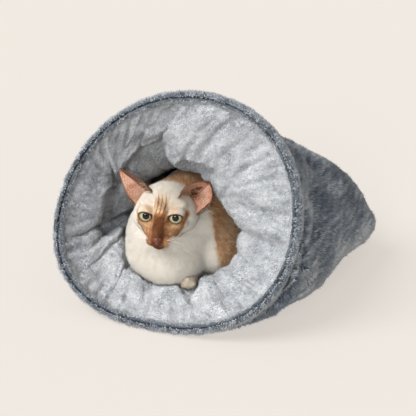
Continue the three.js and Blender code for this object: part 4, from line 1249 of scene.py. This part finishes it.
def make_ears():
    # The inner lining in three copies, shaded, plain and lit, for painted light and shade inside the ear's cup.
    inner_lit_and_shaded = [mottled("ear_inner_painted_shade", (74, 40, 26), (104, 58, 38), (130, 80, 56), 0.2, 75, 900),
                   mottled("ear_inner_mid", (158, 98, 72), (196, 132, 102), (214, 154, 126), 0.2, 75, 900),
                   mottled("ear_inner_painted_light", (214, 152, 124), (240, 186, 160), (250, 206, 184), 0.2, 75, 900)]
    specs = [("left", 1, (34, -6, 13), (0.62, 0.04, 0.78), (0.42, -1.0, 0.05), 38, 19.5, 2.8),
             ("right", -1, (-25, -5, 10), (-0.66, 0.12, 0.74), (-0.30, -1, 0.1), 53, 17, 1.35)]
    for which, side, root, way, facing, long, half, full in specs:
        root, axis = np.array(root, float), unit(np.array(way, float))
        facing = np.array(facing, float)
        forward = unit(facing - axis * (facing @ axis))
        across = np.cross(axis, forward)
        rows, cols = 36, 27
        t = np.linspace(-0.22, 1, rows)[:, None]
        s = np.linspace(-1, 1, cols)[None]
        tt = np.clip(t, 0, 1)
        w = half * np.clip(1 - tt ** full, 0, 1) ** 0.7 * (0.9 + 0.2 * np.sin(np.pi * tt)) + 0.6
        bend = np.radians(78 - 44 * tt)
        radius = w / np.sin(bend)
        x = radius * np.sin(bend * s)
        depth = radius * (np.cos(bend * s) - np.cos(bend))
        lip = 1.6 * np.abs(s) ** 6 * (1 - tt)
        mid = root + axis * (t * long - 2.2 * s ** 2 * (1 - tt))[..., None]
        mid = mid + across * x[..., None] - forward * (depth - lip - 5)[..., None]
        n = surface_normals(mid, closed=False)
        n = pointed(n, n * forward)
        thick = 1.15 * np.clip(1 - np.abs(s) ** 10, 0.35, 1) * np.clip(1 - tt ** 10, 0.4, 1)
        f = grid_faces(rows, cols)
        faces = two_skins(rows, cols)
        ts = np.broadcast_to(tt, (rows, cols)).ravel()[f].mean(1)
        ss = np.broadcast_to(s, (rows, cols)).ravel()[f].mean(1) * -side
        # Painted light and shade inside the cup: the right ear darkens towards one side; the left ear is lightest
        # at one side and darkest in its deep middle. The edges and the tip are darker.
        if side < 0:
            shade = 2 - 2.5 * smoothstep(ss, 0.1, 0.42)
        else:
            shade = 2 - smoothstep(ss, -0.4, 0.0) - 1.4 * bump(ss, 0.0, 0.2) * bump(ts, 0.3, 0.3)
        shade = shade - 1.6 * smoothstep(np.abs(ss), 0.88, 0.97) - 1.0 * smoothstep(ts, 0.85, 0.97)
        inside = np.clip(np.round(shade + 0.3 * np.sin(ss * 9 + ts * 7)), 0, 2)
        slots = np.concatenate([inside, np.full(len(faces) - len(f), 3)])
        flat = skins(mid + n * thick[..., None], mid - n * thick[..., None])
        ob = make(f"ear_{which}", from_head(flat), faces, [*inner_lit_and_shaded, CAT_TONES[6]], slots)
        face_outwards(ob)
        subdivide(ob)
        attach(ob, "cat_head", "ear_plush", f"ear_{which}_back", f"ear_{which}_lining")

        # Short tan fur on the back and the edge, and loose cream hair inside, at the front of the base.
        rng = np.random.default_rng(161 + side)
        axis_w, forward_w, root_w = axis @ TURN.T, forward @ TURN.T, from_head(root)
        v, tr, vn = read(ob)
        centre = v[tr].mean(1)
        height = (centre - root_w) @ axis_w / long
        behind = (vn[tr].mean(1) @ forward_w) < 0.15
        use = tr[behind & (height > 0.02)]
        roots, rn = scatter(v, use, vn, EAR_FUR, rng)
        h = (roots - root_w) @ axis_w / long
        tone = steps(5.4 + 1.0 * h + rng.normal(scale=0.6, size=EAR_FUR), CAT_TOP, 3)
        lean = axis_w * 1.5 + rng.normal(scale=0.15, size=(EAR_FUR, 3))
        tufts(f"ear_{which}_pile", "cat_head", "tan_plush", roots, rn, lean, rng.uniform(2.0, 3.2, EAR_FUR),
              rng.uniform(0.3, 0.5, EAR_FUR), (np.minimum(tone + 1, CAT_TOP), tone), CAT_TONES, rng, 0.85)
        front_faces = tr[(~behind) & (height > -0.05) & (height < 0.4)]
        roots, rn = scatter(v, front_faces, vn, EAR_HAIR, rng)
        lean = axis_w * 0.9 + forward_w * 0.4 + rng.normal(scale=0.35, size=(EAR_HAIR, 3))
        long_hair, fine = rng.uniform(5, 10, EAR_HAIR), rng.uniform(0.22, 0.34, EAR_HAIR)
        both = np.full(EAR_HAIR, 4), rng.choice([2, 3, 4], EAR_HAIR)
        tufts(f"ear_{which}_hair", "cat_head", "cream_plush", roots, rn, lean, long_hair, fine, both, CAT_TONES,
              rng, 0.6, short=False)


def make_whiskers():
    m = Mat("whisker", (244, 240, 230), 0.25, spec=0.5)
    m.bump([m.noise(900, 1)], 0.1, 0.0001)
    rng = np.random.default_rng(171)
    for side, which in ((-1, "right"), (1, "left")):
        verts, faces = [], []
        for row in range(3):
            for k in range(4):
                start = np.array([side * (11.5 + 1.9 * k), -56 + 2.6 * k, -22.5 - 3.0 * row + 0.4 * k])
                rise = 0.06 - 0.26 * row - 0.05 * k + rng.normal(scale=0.05)
                way = unit(np.array([side, -0.10 + 0.18 * k, rise]))
                long = rng.uniform(26, 38)
                s = np.linspace(0, 1, 9)[:, None]
                line = start + way * long * s + np.array([0, 0.16, -0.2]) * long * s ** 2
                r = 0.28 * (1 - 0.85 * s)
                tangent = unit(np.gradient(line, axis=0))
                one = unit(np.cross(tangent, [0, 0, 1]))
                verts.append(rings(line, r, one, np.cross(one, tangent), 5).reshape(-1, 3))
                faces.append(grid_faces(9, 5, True) + len(faces) * len(verts[0]))
        ob = make("whiskers_" + which + "_fine", from_head(np.concatenate(verts)), np.concatenate(faces), [m.m])
        attach(ob, "cat_head", "whisker_nylon", "whiskers_" + which)


# ------------------------------------------------------------------ the rest of the bed

def finish_cad_nodes():
    steel = Mat("spring_steel", (150, 153, 156), 0.35, metal=1.0, spec=0.5)
    steel.rough_between(steel.noise(600, 2, stretch=(1, 1, 8)), 0.25, 0.45)
    brass = Mat("crimped_brass", (172, 144, 84), 0.4, metal=1.0, spec=0.5)
    brass.rough_between(brass.noise(700, 2), 0.3, 0.5)
    plastic = Mat("moulded_plastic", (226, 226, 220), 0.5, spec=0.4)
    plastic.bump([plastic.noise(1200, 2)], 0.2, 0.0002)
    metal = {"rim_hoop": steel.m, "hoop_sleeve": brass.m}
    for name, ob in frame["nodes"].items():
        material = plastic.m if "washer" in name or name.startswith("neck") else metal.get(name)
        if material:
            for s in ob.material_slots:
                s.material = material


# ------------------------------------------------------------------ stage, light, camera

def stage():
    floor = bpy.data.meshes.new("floor")
    floor.from_pydata([(-12, -12, 0), (12, -12, 0), (12, 12, 0), (-12, 12, 0)], [], [(0, 1, 2, 3)])
    m = Mat("pale_floor", (142, 138, 134), 0.95, spec=0.0)
    m.p.inputs["Emission Color"].default_value = srgb(242, 235, 227)
    m.p.inputs["Emission Strength"].default_value = 0.632
    floor.materials.append(m.m)
    add("floor", floor)
    world = bpy.context.scene.world or bpy.data.worlds.new("world")
    bpy.context.scene.world = world
    world.use_nodes = True
    bg = world.node_tree.nodes["Background"]
    bg.inputs["Color"].default_value = (1.0, 0.985, 0.965, 1)
    bg.inputs["Strength"].default_value = 0.48

    def sun(name, direction, strength, angle, tint):
        data = bpy.data.lights.new(name, "SUN")
        data.energy, data.angle, data.color = strength, math.radians(angle), tint
        add(name, data).rotation_euler = Vector(direction).to_track_quat("Z", "Y").to_euler()

    sun("key", (-0.42, -0.52, 0.74), 2.5, 34, (1, 0.985, 0.965))
    sun("fill", (0.05, -0.9, 0.38), 0.95, 14, (0.98, 0.99, 1))


CAMERA_TURN, CAMERA_HEIGHT = 22, 24  # degrees from the front and up
CAMERA_FAR, LENS = 1.7, 108.173077  # m, mm
CAMERA_AIM = np.array([0, 150, 110])  # mm, and this far right and up of it as the camera sees it:
AIM_RIGHT, AIM_UP = 7.48, 4.08


def camera():
    a, e = math.radians(CAMERA_TURN), math.radians(CAMERA_HEIGHT)
    back = np.array([math.sin(a) * math.cos(e), -math.cos(a) * math.cos(e), math.sin(e)])
    right = np.array([math.cos(a), math.sin(a), 0])
    up = np.array([-math.sin(a) * math.sin(e), math.cos(a) * math.sin(e), math.cos(e)])
    aim = (CAMERA_AIM + OFFSET + right * AIM_RIGHT + up * AIM_UP) * MM
    data = bpy.data.cameras.new("camera")
    data.lens = LENS
    ob = add("camera", data)
    ob.location = Vector(aim + back * CAMERA_FAR)
    ob.rotation_euler = Vector(-back).to_track_quat("-Z", "Y").to_euler()
    bpy.context.scene.camera = ob


bpy.context.scene.view_settings.view_transform = "Standard"
camera()
stage()
make_lobes()
make_cover()
make_rim()
make_head()
make_body()
make_limbs()
make_eyes()
make_nose()
make_ears()
make_whiskers()
finish_cad_nodes()
